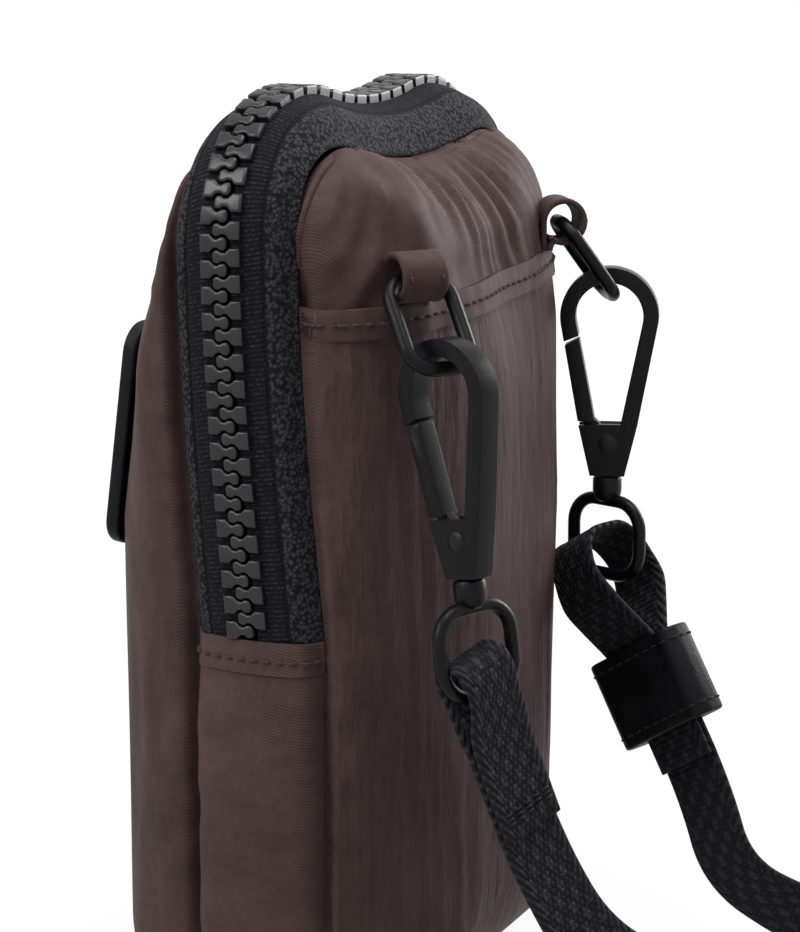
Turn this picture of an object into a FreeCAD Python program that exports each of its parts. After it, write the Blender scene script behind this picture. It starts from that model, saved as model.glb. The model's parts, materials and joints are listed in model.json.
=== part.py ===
"""A stuffed nylon phone pouch with a wrap-round zip, two snap hooks and a webbing strap.

Millimetres. +Z is up, the front faces -Y, the back with its slip pocket faces +Y, and the origin is the
middle of the flat bottom. Left and right are as seen from the back, so left is +X.
"""
import FreeCAD
import Part
import math
import os

V = FreeCAD.Vector
UP = V(0, 0, 1)

# Pouch body
half_width = 50.0
seam_height = 182.0
corner_radius = 26.0
foot_radius = 9.0
band_depth = 28.0
band_crown = 2.2
band_rise = 7.0
top_dip = 14.0
back_bulge = 20.5
front_bulge = 24.5
front_bend_z = 102.0
fabric = 1.4
tape = 1.0
lining_cloth = 0.5
layer_gap = 0.3
hem_extra = 0.8
zip_end_z = 83.0
zip_hem_depth = 9.0
overrun = 5.0

# Slip pocket and loops
pocket_hem_z = 151.5
pocket_hem_depth = 6.0
hem_rise = 4.0
loop_x = 34.0
near_loop_out = 4.0
loop_length = 9.4
loop_bore = 3.8
loop_cloth = 1.3
loop_stand = 5.6
loop_neck = 2.6
loop_yaw = 35.0
loop_offset = 3.4

# Front patch
patch_width = 74.0
patch_height = 47.4
patch_thick = 3.2
patch_corner = 6.0
patch_z = 117.8

# Zip
tooth_pitch = 5.08
chain_half = 4.5
tooth_out = 1.9
tooth_in = 1.4
tooth_half = 1.85
tooth_neck = 0.8
tooth_head = 1.3
tooth_tip = 0.95
tooth_shoulder_y = 2.2
tooth_neck_y = 1.2
tooth_head_y = 0.6
tooth_tip_y = 1.55
slider_length = 17.0
slider_half = 6.3
slider_plate = 1.4
slider_corner = 2.5
slider_gap = 0.35
slider_foot = 1.6
slider_slot = 1.25
slider_travel = 58.0
wedge_half = 1.6
wedge_length = 5.0
stop_length = 4.0
stop_inner = 2.1
bail_width = 3.0
bail_length = 7.0
bail_hole = 3.2
bail_wall = 1.3
pull_width = 9.0
pull_length = 22.0
pull_thick = 1.6
pull_bar = 2.0
pull_window = 4.4
pull_side_gap = 0.6
pull_corner = 3.0

# Ring, hook and swivel eye
ring_wire = 3.4
ring_width = 13.6
ring_height = 19.6
ring_corner = 5.0
ring_drop = 0.4
ring_tilt = 36.0
hang_gap = 0.5
swivel_gap = 0.3
hook_length = 46.0
hook_width = 21.4
hook_thick = 5.0
hook_bar = 3.7
hook_chamfer = 0.7
base_foot = 7.6
base_top = 13.0
base_height = 11.5
opening_foot = 5.6
gate_reach = 24.1
gate_gap = 0.3
gate_pivot = 7.2
gate_hub = 2.6
gate_tongue = 2.2
pin_radius = 1.2
pin_head = 2.1
pin_head_high = 0.5
stud_radius = 1.3
stud_head = 1.9
stud_head_high = 1.3
stud_grip = 1.9
stud_gap = 0.15
collar_radius = 3.2
collar_high = 4.2
eye_wire = 2.8
eye_width = 18.4
eye_height = 16.7
eye_corner = 6.0

# Strap
strap_width = 15.0
strap_thick = 1.6
fold_gap = 0.2
sewn_bow = 3.2
sewn_crown = 6.5
sewn_neck = 8.0
sewn_tail = 30.0
loop_bow = 8.8
loop_crown = 8.0
loop_neck_low = 17.0
loop_tail = 46.0
keeper_width = 24.0
keeper_deep = 8.5
keeper_high = 18.0
keeper_wall = 2.0
keeper_top = 18.5
roll_pitch = 5.5
roll_half_turns = (8, 7)
roll_steps = 15
roll_centre = V(30.0, 150.0, 0)

# How each carrying side hangs: its loop's place, side sign, hook heading, hook lean, eye heading, strap tilt
HANGS = {
    "left": dict(x=loop_x + near_loop_out, sign=1, heading=72.0, lean=9.0, eye_heading=156.0, tilt=17.0),
    "right": dict(x=-loop_x, sign=-1, heading=108.0, lean=0.0, eye_heading=72.0, tilt=32.0),
}

# Where the strap's two free stretches pass between its ends and the roll
RUN_ROUTES = {
    "left": [V(27, 70, 25), V(17, 86, 12.5), V(6, 106, 8.4), V(-6, 130, 7.7)],
    "right": [V(-30, 73, 20), V(-33, 88, 11), V(-30, 107, 8.2), V(-19, 130, 7.7)],
}
bend_share = 0.45

# Bulge stations as shares: depth, width, top, bottom, corner
back_shares = [
    (0.0, 1.0, 1.0, 0.0, 1.0),
    (0.15, 0.97, 0.993, 0.001, 0.98),
    (0.36, 0.90, 0.968, 0.006, 0.93),
    (0.58, 0.78, 0.922, 0.016, 0.85),
    (0.79, 0.62, 0.848, 0.040, 0.68),
    (0.92, 0.47, 0.785, 0.075, 0.48),
    (1.0, 0.32, 0.725, 0.12, 0.30),
]
front_shares = [
    (0.0, 1.0, 1.0, 0.0, 1.0),
    (0.22, 0.99, 0.962, 0.001, 1.0),
    (0.45, 0.955, 0.905, 0.005, 1.0),
    (0.68, 0.89, 0.862, 0.016, 0.95),
    (0.86, 0.80, 0.828, 0.040, 0.80),
    (0.96, 0.72, 0.808, 0.07, 0.64),
    (1.0, 0.66, 0.795, 0.10, 0.50),
]
front_slope_share = 0.136
crown_shares = [(-1.0, 0.0), (-0.65, 0.6), (-0.3, 0.92), (0.3, 0.92), (0.65, 0.6), (1.0, 0.0)]
foot_share = 0.35
corner_steps = 6
sag_steps = 4
foot_steps = 3
wire_sides = 12
bend_steps = 6
seam_y = band_depth / 2


def block(x0, x1, y0, y1, z0, z1):
    """A box between two corners."""
    return Part.makeBox(x1 - x0, y1 - y0, z1 - z0, V(x0, y0, z0))


def heading(degrees):
    """The level unit vector at an angle from +X."""
    return V(math.cos(math.radians(degrees)), math.sin(math.radians(degrees)), 0)


def placed(shape, origin, x_axis, y_axis):
    """A copy of a shape whose own axes are laid along two given ones."""
    z_axis = x_axis.cross(y_axis)
    matrix = FreeCAD.Matrix(
        x_axis.x, y_axis.x, z_axis.x, origin.x,
        x_axis.y, y_axis.y, z_axis.y, origin.y,
        x_axis.z, y_axis.z, z_axis.z, origin.z,
        0, 0, 0, 1,
    )
    copy = shape.copy()
    copy.Placement = FreeCAD.Placement(matrix).multiply(shape.Placement)
    return copy


def cap(ring):
    """Flat faces that close a ring: one, or level strips between the two sides of a bent one."""
    wire = Part.makePolygon(ring + ring[:1])
    if wire.findPlane():
        return [Part.Face(wire)]
    strips = []
    for n in range(len(ring) // 2):
        corners = [ring[n], ring[n + 1], ring[-n - 2], ring[-n - 1]]
        corners = corners[:2] + corners[3:] if corners[1].isEqual(corners[2], layer_gap) else corners
        strips.append(Part.Face(Part.makePolygon(corners + corners[:1])))
    return strips


def skin(rings, closed=False):
    """A solid of flat faces through rings of points; a closed one joins its last ring to its first."""
    faces = []
    pairs = zip(rings, rings[1:] + rings[:1]) if closed else zip(rings, rings[1:])
    for one, two in pairs:
        for n in range(len(one)):
            m = (n + 1) % len(one)
            quad = Part.makePolygon([one[n], one[m], two[m], two[n], one[n]])
            if quad.findPlane():
                faces.append(Part.Face(quad))
            else:
                faces.append(Part.Face(Part.makePolygon([one[n], one[m], two[m], one[n]])))
                faces.append(Part.Face(Part.makePolygon([one[n], two[m], two[n], one[n]])))
    if not closed:
        faces += cap(rings[0]) + cap(rings[-1])
    shell = Part.makeShell(faces)
    shell.sewShape()
    solid = Part.makeSolid(shell)
    if solid.Volume < 0:
        solid.reverse()
    return solid


def sweep(middle, radius, start, end, steps):
    """Points (x, z) along an arc about a middle, between two angles."""
    angles = [start + (end - start) * k / steps for k in range(steps + 1)]
    return [(middle[0] + radius * math.cos(a), middle[1] + radius * math.sin(a)) for a in angles]


def front_depth(z):
    """The front's depth at a height, as a share: full up to the bend, then leaning back."""
    return 1 - max(0.0, z - front_bend_z) * front_slope_share / front_bulge


def back_depth(z):
    """The back's depth at a height, as a share: full all the way up."""
    return 1.0


def outline(half, bottom, top, corner, foot, y, lean=None):
    """A pouch outline at one depth: legs, round corners, a dipped top, a flat bottom; lean draws it in."""
    dip = math.radians(top_dip)
    quarter = math.pi / 2
    reach = half - corner
    high = top - corner
    sag_radius = reach / math.sin(dip) - corner
    sag_middle = (0, high + (corner + sag_radius) * math.cos(dip))
    side = sweep((half - foot, bottom + foot), foot, -quarter, 0, foot_steps)
    side += [(half, front_bend_z)] if lean else []
    side += sweep((reach, high), corner, 0, quarter + dip, corner_steps)
    sag = sweep(sag_middle, sag_radius, dip - quarter, -dip - quarter, sag_steps)[1:-1]
    loop = side + sag + [(-x, z) for x, z in side[::-1]]
    if not lean:
        return [V(x, y, z) for x, z in loop]
    edge = math.copysign(seam_y, y)
    return [V(x, edge + (y - edge) * lean(z), z) for x, z in loop]


def bulge_rings(shares, side, depth, inset, open_end=0.0):
    """The station outlines of a bulged panel, drawn in by an inset; open_end adds one past the seam."""
    rings = []
    lean = front_depth if side < 0 else back_depth
    for deep, wide, top, bottom, corner in shares:
        radius = (corner_radius - inset) * corner
        y = side * (seam_y + (depth - inset) * deep)
        rings.append(outline(half_width * wide - inset, seam_height * bottom + inset,
                             seam_height * top - inset, radius, radius * foot_share, y, lean))
    if open_end:
        rings.insert(0, [point - V(0, side * open_end, 0) for point in rings[0]])
    return rings


def bulge(shares, side, depth, inset, open_end=0.0):
    """The solid inside a bulged panel's surface; open_end carries it on past the seam plane."""
    return skin(bulge_rings(shares, side, depth, inset, open_end))


def panel(shares, side, depth, inset, wall):
    """A bulged cloth panel of one thickness, open at the seam plane."""
    return bulge(shares, side, depth, inset).cut(bulge(shares, side, depth, inset + wall, overrun))


def band(inset, open_end=0.0):
    """The solid inside the strip that runs round the pouch between its two seams."""
    rings = []
    for across, crown in crown_shares:
        half = half_width + band_crown * crown - inset
        top = seam_height + band_rise * crown - inset
        rings.append(outline(half, inset, top, corner_radius + band_crown * crown - inset,
                             foot_radius - inset, across * seam_y))
    if open_end:
        rings.insert(0, [point - V(0, open_end, 0) for point in rings[0]])
        rings.append([point + V(0, open_end, 0) for point in rings[-1]])
    return skin(rings)


def band_strip(inset, wall):
    """The strip's cloth, as one closed loop of a given thickness."""
    return band(inset).cut(band(inset + wall, overrun))


reach_out = half_width + band_crown + overrun
top_out = seam_height + band_rise + overrun


def slab(z0, z1):
    """Everything on the pouch between two heights."""
    deep = seam_y + max(back_bulge, front_bulge) + overrun
    return block(-reach_out, reach_out, -deep, deep, z0, z1)


def hem_z(x):
    """Height of the pocket's hem, which climbs a little towards the right loop."""
    return pocket_hem_z - x * hem_rise / (2 * loop_x)


def below_hem(drop=0.0):
    """Everything on the pouch under the pocket's sloping hem."""
    cutter = slab(-overrun, pocket_hem_z - drop)
    angle = math.degrees(math.atan2(hem_rise, 2 * loop_x))
    cutter.rotate(V(0, 0, pocket_hem_z - drop), V(0, 1, 0), angle)
    return cutter


def skin_y(shape, x, z):
    """How far back a shape's surface lies at a place."""
    probe = Part.makeLine(V(x, 0, z), V(x, seam_y + back_bulge + overrun, z))
    return max(v.Y for v in shape.common(probe).Vertexes)


def make_pouch(parts):
    """Panels, gusset, pocket, lining and patch."""
    parts["front_panel"] = panel(front_shares, -1, front_bulge, 0.0, fabric)
    pocket = panel(back_shares, 1, back_bulge, 0.0, fabric).common(below_hem())
    hem = panel(back_shares, 1, back_bulge, -hem_extra, hem_extra)
    hem = hem.common(below_hem()).cut(below_hem(pocket_hem_depth))
    parts["pocket_panel"] = pocket.fuse(hem).removeSplitter()
    parts["back_panel"] = panel(back_shares, 1, back_bulge, fabric + layer_gap, fabric)
    gusset = band_strip(0.0, fabric).common(slab(-overrun, zip_end_z))
    folded = band_strip(-hem_extra, hem_extra).common(slab(zip_end_z - zip_hem_depth, zip_end_z))
    parts["gusset"] = gusset.fuse(folded).removeSplitter()
    parts["lining"] = lining()
    parts["front_patch"] = patch()


def lining():
    """The thin lining bag, slit along the zip."""
    inset = 2 * (fabric + layer_gap)
    slit_half = slider_half + lining_cloth + layer_gap
    slit = block(-reach_out, reach_out, -slit_half, slit_half, zip_end_z - zip_hem_depth, top_out)
    leaves = []
    for shares, side, depth in ((front_shares, -1, front_bulge), (back_shares, 1, back_bulge)):
        outer = bulge(shares[::2], side, depth, inset, seam_y)
        inner = bulge(shares[::2], side, depth, inset + lining_cloth, seam_y + overrun)
        leaves.append(outer.cut(inner).cut(slit))
    return leaves[0].fuse(leaves[1]).removeSplitter()


def rounded_plate(width, height, corner, thick):
    """A rounded rectangle in the XY plane, middle at the origin, raised along Z."""
    plate = Part.makeBox(width, height, thick, V(-width / 2, -height / 2, 0))
    edges = [e for e in plate.Edges if abs(e.Vertexes[0].Z - e.Vertexes[1].Z) > thick / 2]
    return plate.makeFillet(corner, edges)


def patch():
    """The bare patch, flat on the leaning part of the front."""
    up = V(0, front_slope_share, 1).normalize()
    return placed(rounded_plate(patch_width, patch_height, patch_corner, patch_thick),
                  V(0, -seam_y - front_bulge * front_depth(patch_z), patch_z), V(1, 0, 0), up)


def chain_path():
    """Places along the middle of the zip chain: a function of distance giving point and outward normal."""
    middle = tape / 2
    half = half_width + band_crown - middle
    top = seam_height + band_rise - middle
    corner = corner_radius + band_crown - middle
    dip = math.radians(top_dip)
    reach = half - corner
    high = top - corner
    sag_radius = reach / math.sin(dip) - corner
    sag_centre = high + (corner + sag_radius) * math.cos(dip)
    leg = high - zip_end_z
    turn = corner * (math.pi / 2 + dip)
    sag = sag_radius * 2 * dip
    total = 2 * leg + 2 * turn + sag

    def place(s):
        if s > total / 2:
            point, normal = place(total - s)
            return V(-point.x, 0, point.z), V(-normal.x, 0, normal.z)
        if s < leg:
            return V(half, 0, zip_end_z + s), V(1, 0, 0)
        if s < leg + turn:
            angle = (s - leg) / corner
            normal = V(math.cos(angle), 0, math.sin(angle))
            return V(reach, 0, high) + normal * corner, normal
        angle = dip - (s - leg - turn) / sag_radius
        normal = V(-math.sin(angle), 0, math.cos(angle))
        return V(0, 0, sag_centre) - normal * sag_radius, normal

    return place, total, leg


def tooth_outline(side):
    """One tooth's puzzle-piece outline, as (along, across) points; side is the row that it is on."""
    half = [
        (tooth_half, -chain_half),
        (tooth_half, -tooth_shoulder_y),
        (tooth_neck, -tooth_neck_y),
        (tooth_head, tooth_head_y),
        (tooth_tip, tooth_tip_y),
    ]
    points = half + [(-a, b) for a, b in half[::-1]]
    return [(a, -side * b) for a, b in points]


def tooth(place, s, side):
    """One tooth across the chain at a distance along it."""
    point, normal = place(s)
    along = V(0, 1, 0).cross(normal)
    points = [point + along * a + V(0, b, 0) - normal * tooth_in for a, b in tooth_outline(side)]
    return Part.Face(Part.makePolygon(points + points[:1])).extrude(normal * (tooth_in + tooth_out))


def make_zip(parts):
    """Tapes, tooth rows, stops, slider and pull."""
    strip = band_strip(0.0, tape).common(slab(zip_end_z, top_out))
    for name, side in (("front", -1), ("back", 1)):
        inner, outer = sorted((side * chain_half, side * (seam_y + overrun)))
        lane = block(-reach_out, reach_out, inner, outer, zip_end_z, top_out)
        parts["zip_tape_" + name] = strip.common(lane)
    place, total, leg = chain_path()
    slider_low = zip_end_z + slider_foot
    first_tooth = slider_low + slider_gap + wedge_length + tooth_half
    last = total - (first_tooth - zip_end_z)
    travel_from = total - leg + (leg - (first_tooth - zip_end_z) - slider_travel - slider_length)
    for name, side, shift in (("front", -1, 0.0), ("back", 1, tooth_pitch / 2)):
        fixed, moved = [], []
        s = tooth_half + shift
        while s <= last:
            (moved if s > travel_from else fixed).append(tooth(place, s, side))
            s += tooth_pitch
        parts["zip_teeth_" + name] = Part.makeCompound(fixed)
        parts["zip_teeth_travel_" + name] = Part.makeCompound(moved)
        print("zip teeth", name, len(fixed), len(moved))
    chain_x = half_width + band_crown - tape / 2
    stops = []
    stop_z = slider_low + slider_gap
    for side in (-1, 1):
        low, high = sorted((side * stop_inner, side * chain_half))
        stops.append(block(-chain_x - tooth_out, -chain_x + tooth_in, low, high,
                           stop_z, stop_z + stop_length))
    parts["zip_stops"] = Part.makeCompound(stops)
    make_slider(parts, chain_x, slider_low)


def make_slider(parts, chain_x, low):
    """The slider round the chain on the right leg, with its bail and hanging pull."""
    high = low + slider_length
    outer = chain_x + tooth_out + slider_gap
    inner = chain_x - tooth_in - slider_gap
    channel = chain_half + slider_gap
    plates = []
    for x0 in (-outer - slider_plate, -inner):
        plate = block(x0, x0 + slider_plate, -slider_half, slider_half, low, high)
        edges = [e for e in plate.Edges if abs(e.Vertexes[0].X - e.Vertexes[1].X) > slider_plate / 2]
        plates.append(plate.makeFillet(slider_corner, edges))
    body = plates[0].fuse(plates[1])
    body = body.fuse(block(-outer, -inner, -wedge_half, wedge_half, low, low + wedge_length))
    for side in (-1, 1):
        y0, y1 = sorted((side * channel, side * slider_half))
        z0, z1 = low + slider_corner, high - slider_corner
        body = body.fuse(block(-outer, -chain_x - slider_slot + slider_gap, y0, y1, z0, z1))
        body = body.fuse(block(-chain_x + slider_slot, -inner, y0, y1, z0, z1))
    parts["slider_body"] = body.removeSplitter()
    face = outer + slider_plate
    bail_mid = (low + high) / 2
    bail = block(-face - bail_hole - bail_wall, -face, -bail_width / 2, bail_width / 2,
                 bail_mid - bail_length / 2, bail_mid + bail_length / 2)
    hole = block(-face - bail_hole, -face + overrun, -bail_width, bail_width,
                 bail_mid - bail_hole / 2, bail_mid + bail_hole / 2)
    parts["slider_bail"] = bail.cut(hole)
    axis = V(-face - bail_hole / 2, 0, bail_mid)
    plate = rounded_plate(pull_width, pull_length, pull_corner, pull_thick)
    window = block(-bail_width / 2 - pull_side_gap, bail_width / 2 + pull_side_gap,
                   pull_length / 2 - pull_bar - pull_window, pull_length / 2 - pull_bar, -overrun, overrun)
    plate = plate.cut(window)
    middle_z = axis.z + (pull_bar - pull_length) / 2
    parts["pull_tab"] = placed(plate, V(axis.x - pull_thick / 2, 0, middle_z), V(0, 1, 0), UP)
    print("pull axis", axis)


def oval(width, height, corner, wire):
    """A closed ring of round wire in the XY plane, its top wire's middle at the origin, hanging to -Y."""
    w, r = width / 2, corner
    rounds = []
    low = r - height
    for x, y, start in ((w - r, -r, 0), (r - w, -r, 90), (r - w, low, 180), (w - r, low, 270)):
        for k in range(bend_steps + 1):
            out = heading(start + 90 * k / bend_steps)
            middle = V(x, y, 0) + out * r
            angles = [2 * math.pi * n / wire_sides for n in range(wire_sides)]
            rounds.append([middle + (out * math.cos(a) + UP * math.sin(a)) * (wire / 2) for a in angles])
    return skin(rounds, True)


def teardrop(radius, centre, shoulder, shoulder_y, foot, foot_y):
    """A closed outline: a round top, sides tangent to it, then straight sides to a narrower foot."""
    dx, dy = shoulder, shoulder_y - centre
    reach = math.hypot(dx, dy)
    angle = math.atan2(dy, dx) + math.acos(radius / reach)
    touch = V(radius * math.cos(angle), centre + radius * math.sin(angle), 0)
    mirror = V(-touch.x, touch.y, 0)
    return Part.Wire([
        Part.Arc(touch, V(0, centre + radius, 0), mirror).toShape(),
        Part.makeLine(mirror, V(-shoulder, shoulder_y, 0)),
        Part.makeLine(V(-shoulder, shoulder_y, 0), V(-foot, foot_y, 0)),
        Part.makeLine(V(-foot, foot_y, 0), V(foot, foot_y, 0)),
        Part.makeLine(V(foot, foot_y, 0), V(shoulder, shoulder_y, 0)),
        Part.makeLine(V(shoulder, shoulder_y, 0), touch),
    ])


def hook_bar_solid(thick):
    """The hook's whole loop and base, before it is parted into frame and gate."""
    centre = hook_length - hook_width / 2
    outer = teardrop(hook_width / 2, centre, base_top / 2, base_height, base_foot / 2, 0)
    inner_radius = hook_width / 2 - hook_bar
    inner = teardrop(inner_radius, centre, opening_foot / 2 + hook_chamfer, base_height + hook_bar,
                     opening_foot / 2, base_height)
    face = Part.Face(outer).cut(Part.Face(inner))
    return face.extrude(V(0, 0, thick)).translated(V(0, 0, -thick / 2))


def swing_disc(radius):
    """A disc about the gate's rivet, thicker than the hook."""
    return Part.makeCylinder(radius, 2 * hook_thick, V(0, gate_pivot, -hook_thick), UP)


def make_hook_solids():
    """Hook frame, gate and rivet in the hook's own axes: X to the spine, Y up from the base, Z across."""
    whole = hook_bar_solid(hook_thick)
    rims = [e for e in whole.Edges if abs(abs(e.CenterOfMass.z) - hook_thick / 2) < hook_chamfer / 2]
    whole = whole.makeChamfer(hook_chamfer, rims)
    wide = hook_width
    gate_low = base_height + gate_gap
    side_cut = block(-wide, 0, base_height, hook_length, -hook_thick, hook_thick)
    side_cut = side_cut.common(swing_disc(gate_reach + gate_gap))
    slot_half = gate_tongue / 2 + gate_gap
    slot = block(-wide, opening_foot / 2, gate_pivot - gate_hub - gate_gap, base_height + overrun,
                 -slot_half, slot_half)
    bore = Part.makeCylinder(stud_radius + stud_gap, overrun + stud_grip, V(0, -overrun, 0), V(0, 1, 0))
    chamber = Part.makeCylinder(stud_head + stud_gap, stud_head_high + 2 * stud_gap,
                                V(0, stud_grip - stud_gap, 0), V(0, 1, 0))
    pin_hole = swing_disc(pin_radius)
    frame = whole.cut(side_cut).cut(slot).cut(bore).cut(chamber).cut(pin_hole)
    limb = whole.common(block(-wide, -opening_foot / 2, gate_low, hook_length, -hook_thick, hook_thick))
    limb = limb.common(swing_disc(gate_reach))
    limb = limb.common(block(-wide, wide, -wide, 2 * hook_length, gate_gap - hook_thick / 2,
                             hook_thick / 2 - gate_gap))
    foot = [v.Point for v in limb.Vertexes if abs(v.Y - gate_low) < gate_gap]
    left, right = min(p.x for p in foot), max(p.x for p in foot)
    tongue_points = [V(left, gate_low, 0), V(right, gate_low, 0), V(gate_hub, gate_pivot, 0),
                     V(0, gate_pivot - gate_hub, 0), V(-gate_hub, gate_pivot, 0)]
    tongue = Part.Face(Part.makePolygon(tongue_points + tongue_points[:1]))
    tongue = tongue.extrude(V(0, 0, gate_tongue)).translated(V(0, 0, -gate_tongue / 2))
    hub = Part.makeCylinder(gate_hub, gate_tongue, V(0, gate_pivot, -gate_tongue / 2), UP)
    gate = limb.fuse(tongue).fuse(hub).cut(pin_hole).removeSplitter()
    pin = Part.makeCylinder(pin_radius, hook_thick, V(0, gate_pivot, -hook_thick / 2), UP)
    for z in (hook_thick / 2, -hook_thick / 2 - pin_head_high):
        pin = pin.fuse(Part.makeCylinder(pin_head, pin_head_high, V(0, gate_pivot, z), UP))
    return frame, gate, pin.removeSplitter()


def eye_solids():
    """Swivel eye and stud head in axes whose Y is the stem, up, with the hook's foot at y = 0."""
    ring = oval(eye_width, eye_height, eye_corner, eye_wire)
    top = -swivel_gap - collar_high - eye_wire / 2 + stud_gap
    ring = ring.translated(V(0, top, 0))
    collar = Part.makeCylinder(collar_radius, collar_high, V(0, -swivel_gap - collar_high, 0), V(0, 1, 0))
    shank = Part.makeCylinder(stud_radius, stud_grip + swivel_gap, V(0, -swivel_gap, 0), V(0, 1, 0))
    head = Part.makeCylinder(stud_head, stud_head_high, V(0, stud_grip, 0), V(0, 1, 0))
    return ring.fuse(collar).fuse(shank).removeSplitter(), head, top - eye_height


def folded_end(bow, crown, neck, tail):
    """A strap end folded into a loop; the eye's bar is the origin, along Z, and the strap runs to -Y."""

    def edge(grow, end):
        side = bow + grow
        high = crown - bow
        inner = fold_gap / 2 + grow
        return Part.Wire([
            Part.Arc(V(-side, high, 0), V(0, high + side, 0), V(side, high, 0)).toShape(),
            Part.makeLine(V(side, high, 0), V(inner, -neck, 0)),
            Part.makeLine(V(inner, -neck, 0), V(inner, end, 0)),
            Part.makeLine(V(inner, end, 0), V(-inner, end, 0)),
            Part.makeLine(V(-inner, end, 0), V(-inner, -neck, 0)),
            Part.makeLine(V(-inner, -neck, 0), V(-side, high, 0)),
        ])

    face = Part.Face(edge(strap_thick, -tail)).cut(Part.Face(edge(0.0, strap_thick - tail)))
    return face.extrude(V(0, 0, strap_width)).translated(V(0, 0, -strap_width / 2))


def keeper():
    """The leather sleeve round the looped end's two layers, in the same axes as the strap end."""
    across = keeper_deep / 2
    body = block(-across, across, -keeper_top - keeper_high, -keeper_top,
                 -keeper_width / 2, keeper_width / 2)
    edges = [e for e in body.Edges if abs(e.Vertexes[0].Y - e.Vertexes[1].Y) > keeper_high / 2]
    body = body.makeFillet(across - keeper_wall / 2, edges)
    hole_x = fold_gap / 2 + strap_thick + layer_gap
    hole_z = strap_width / 2 + layer_gap
    return body.cut(block(-hole_x, hole_x, -loop_tail, 0, -hole_z, hole_z))


def make_side(name, parts, hook_shapes):
    """Loop, ring, hook, eye and strap end of one side; returns where the strap leaves and its heading."""
    hang = HANGS[name]
    sign = hang["sign"]
    x = hang["x"]
    z = hem_z(x) + loop_stand
    hem_y = skin_y(parts["pocket_panel"], x, hem_z(x) - pocket_hem_depth / 2)
    centre = V(x, hem_y + loop_offset - fabric, z)
    axis = heading(-sign * loop_yaw)
    out = UP.cross(axis)
    tube = Part.makeCylinder(loop_bore + loop_cloth, loop_length, centre - axis * (loop_length / 2), axis)
    neck_high = z - hem_z(x)
    neck = placed(Part.makeBox(loop_length, loop_neck, neck_high, V(-loop_length / 2, -loop_neck / 2, 0)),
                  V(centre.x, centre.y, hem_z(x)) - out * (loop_bore + loop_cloth - loop_neck / 2), axis, out)
    inside = bulge(back_shares, 1, back_bulge, fabric + layer_gap)
    tunnel = Part.makeCylinder(loop_bore, 2 * loop_length, centre - axis * loop_length, axis)
    parts[name + "_loop"] = tube.fuse(neck).cut(tunnel).cut(inside).cut(below_hem())
    ring_top = centre - UP * ring_drop
    tilt = math.radians(ring_tilt)
    up_ring = UP * math.cos(tilt) - out * math.sin(tilt)
    ring = oval(ring_width, ring_height, ring_corner, ring_wire)
    parts[name + "_ring"] = placed(ring, ring_top, axis, up_ring)
    ring_foot = ring_top - up_ring * ring_height
    plane = heading(hang["heading"])
    lean = math.radians(hang["lean"])
    stem = UP * math.cos(lean) - plane * math.sin(lean)
    spine = plane * math.cos(lean) + UP * math.sin(lean)
    foot = ring_foot + stem * (ring_wire / 2 + hang_gap - hook_length + hook_bar)
    for part, shape in zip(("hook_frame", "hook_gate", "gate_pin"), hook_shapes):
        parts[name + "_" + part] = placed(shape, foot, spine, stem)
    bar = heading(hang["eye_heading"])
    bar = (bar - stem * bar.dot(stem)).normalize()
    eye, head, eye_foot = eye_solids()
    parts[name + "_eye"] = placed(eye, foot, bar, stem)
    parts[name + "_stud"] = placed(head, foot, bar, stem)
    bar_middle = foot + stem * eye_foot
    tilted = math.radians(hang["tilt"])
    run = bar * math.sin(tilted) - stem * math.cos(tilted)
    width = bar * math.cos(tilted) + stem * math.sin(tilted)
    if name == "left":
        strap, tail = folded_end(sewn_bow, sewn_crown, sewn_neck, sewn_tail), sewn_tail
    else:
        strap, tail = folded_end(loop_bow, loop_crown, loop_neck_low, loop_tail), loop_tail
        parts["keeper"] = placed(keeper(), bar_middle, width.cross(run), -run)
    bare_ring = oval(eye_width, eye_height, eye_corner, eye_wire + 2 * layer_gap)
    bare_ring = placed(bare_ring.translated(V(0, eye_foot + eye_height, 0)), foot, bar, stem)
    parts[name + "_strap_end"] = placed(strap, bar_middle, width.cross(run), -run).cut(bare_ring)
    leave = bar_middle + run * tail
    pivot = foot + stem * gate_pivot
    print(name, "swing", ring_top, axis, "stem", foot, stem, "gate", pivot, spine.cross(stem))
    print(name, "strap leaves", leave, run, "exit at eye", bar_middle)
    return leave, run


def rounded_route(points):
    """Stations (point, direction) along straight runs joined by tangent arcs as wide as the runs allow."""
    stations = [(points[0], (points[1] - points[0]).normalize())]
    radii = []
    for before, corner, after in zip(points, points[1:], points[2:]):
        shorter = min((corner - before).Length, (after - corner).Length)
        first, second = (corner - before).normalize(), (after - corner).normalize()
        half = first.getAngle(second) / 2
        trim = bend_share * shorter
        radius = trim / math.tan(half)
        centre = corner + (second - first).normalize() * (radius / math.cos(half))
        middle = centre + (corner - centre).normalize() * radius
        radii.append(round(radius))
        stations.append((corner - first * trim, first))
        stations.append((middle, (first + second).normalize()))
        stations.append((corner + second * trim, second))
    stations.append((points[-1], (points[-1] - points[-2]).normalize()))
    print("bend radii", radii)
    return stations


def strap_run(points, start, end):
    """A free stretch of strap, upright in the plane of its travel, between two given end directions."""
    stations = rounded_route(points)
    stations[0] = (points[0], start)
    stations[-1] = (points[-1], end)
    rings = []
    for point, along in stations:
        width = (UP - along * along.z).normalize() * (strap_width / 2)
        thick = along.cross(width).normalize() * (strap_thick / 2)
        rings.append([point + width + thick, point + width - thick,
                      point - width - thick, point - width + thick])
    solid = skin(rings)
    length = sum((b[0] - a[0]).Length for a, b in zip(stations, stations[1:]))
    print("run length", length, "volume share", solid.Volume / (length * strap_width * strap_thick))
    return solid


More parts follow.
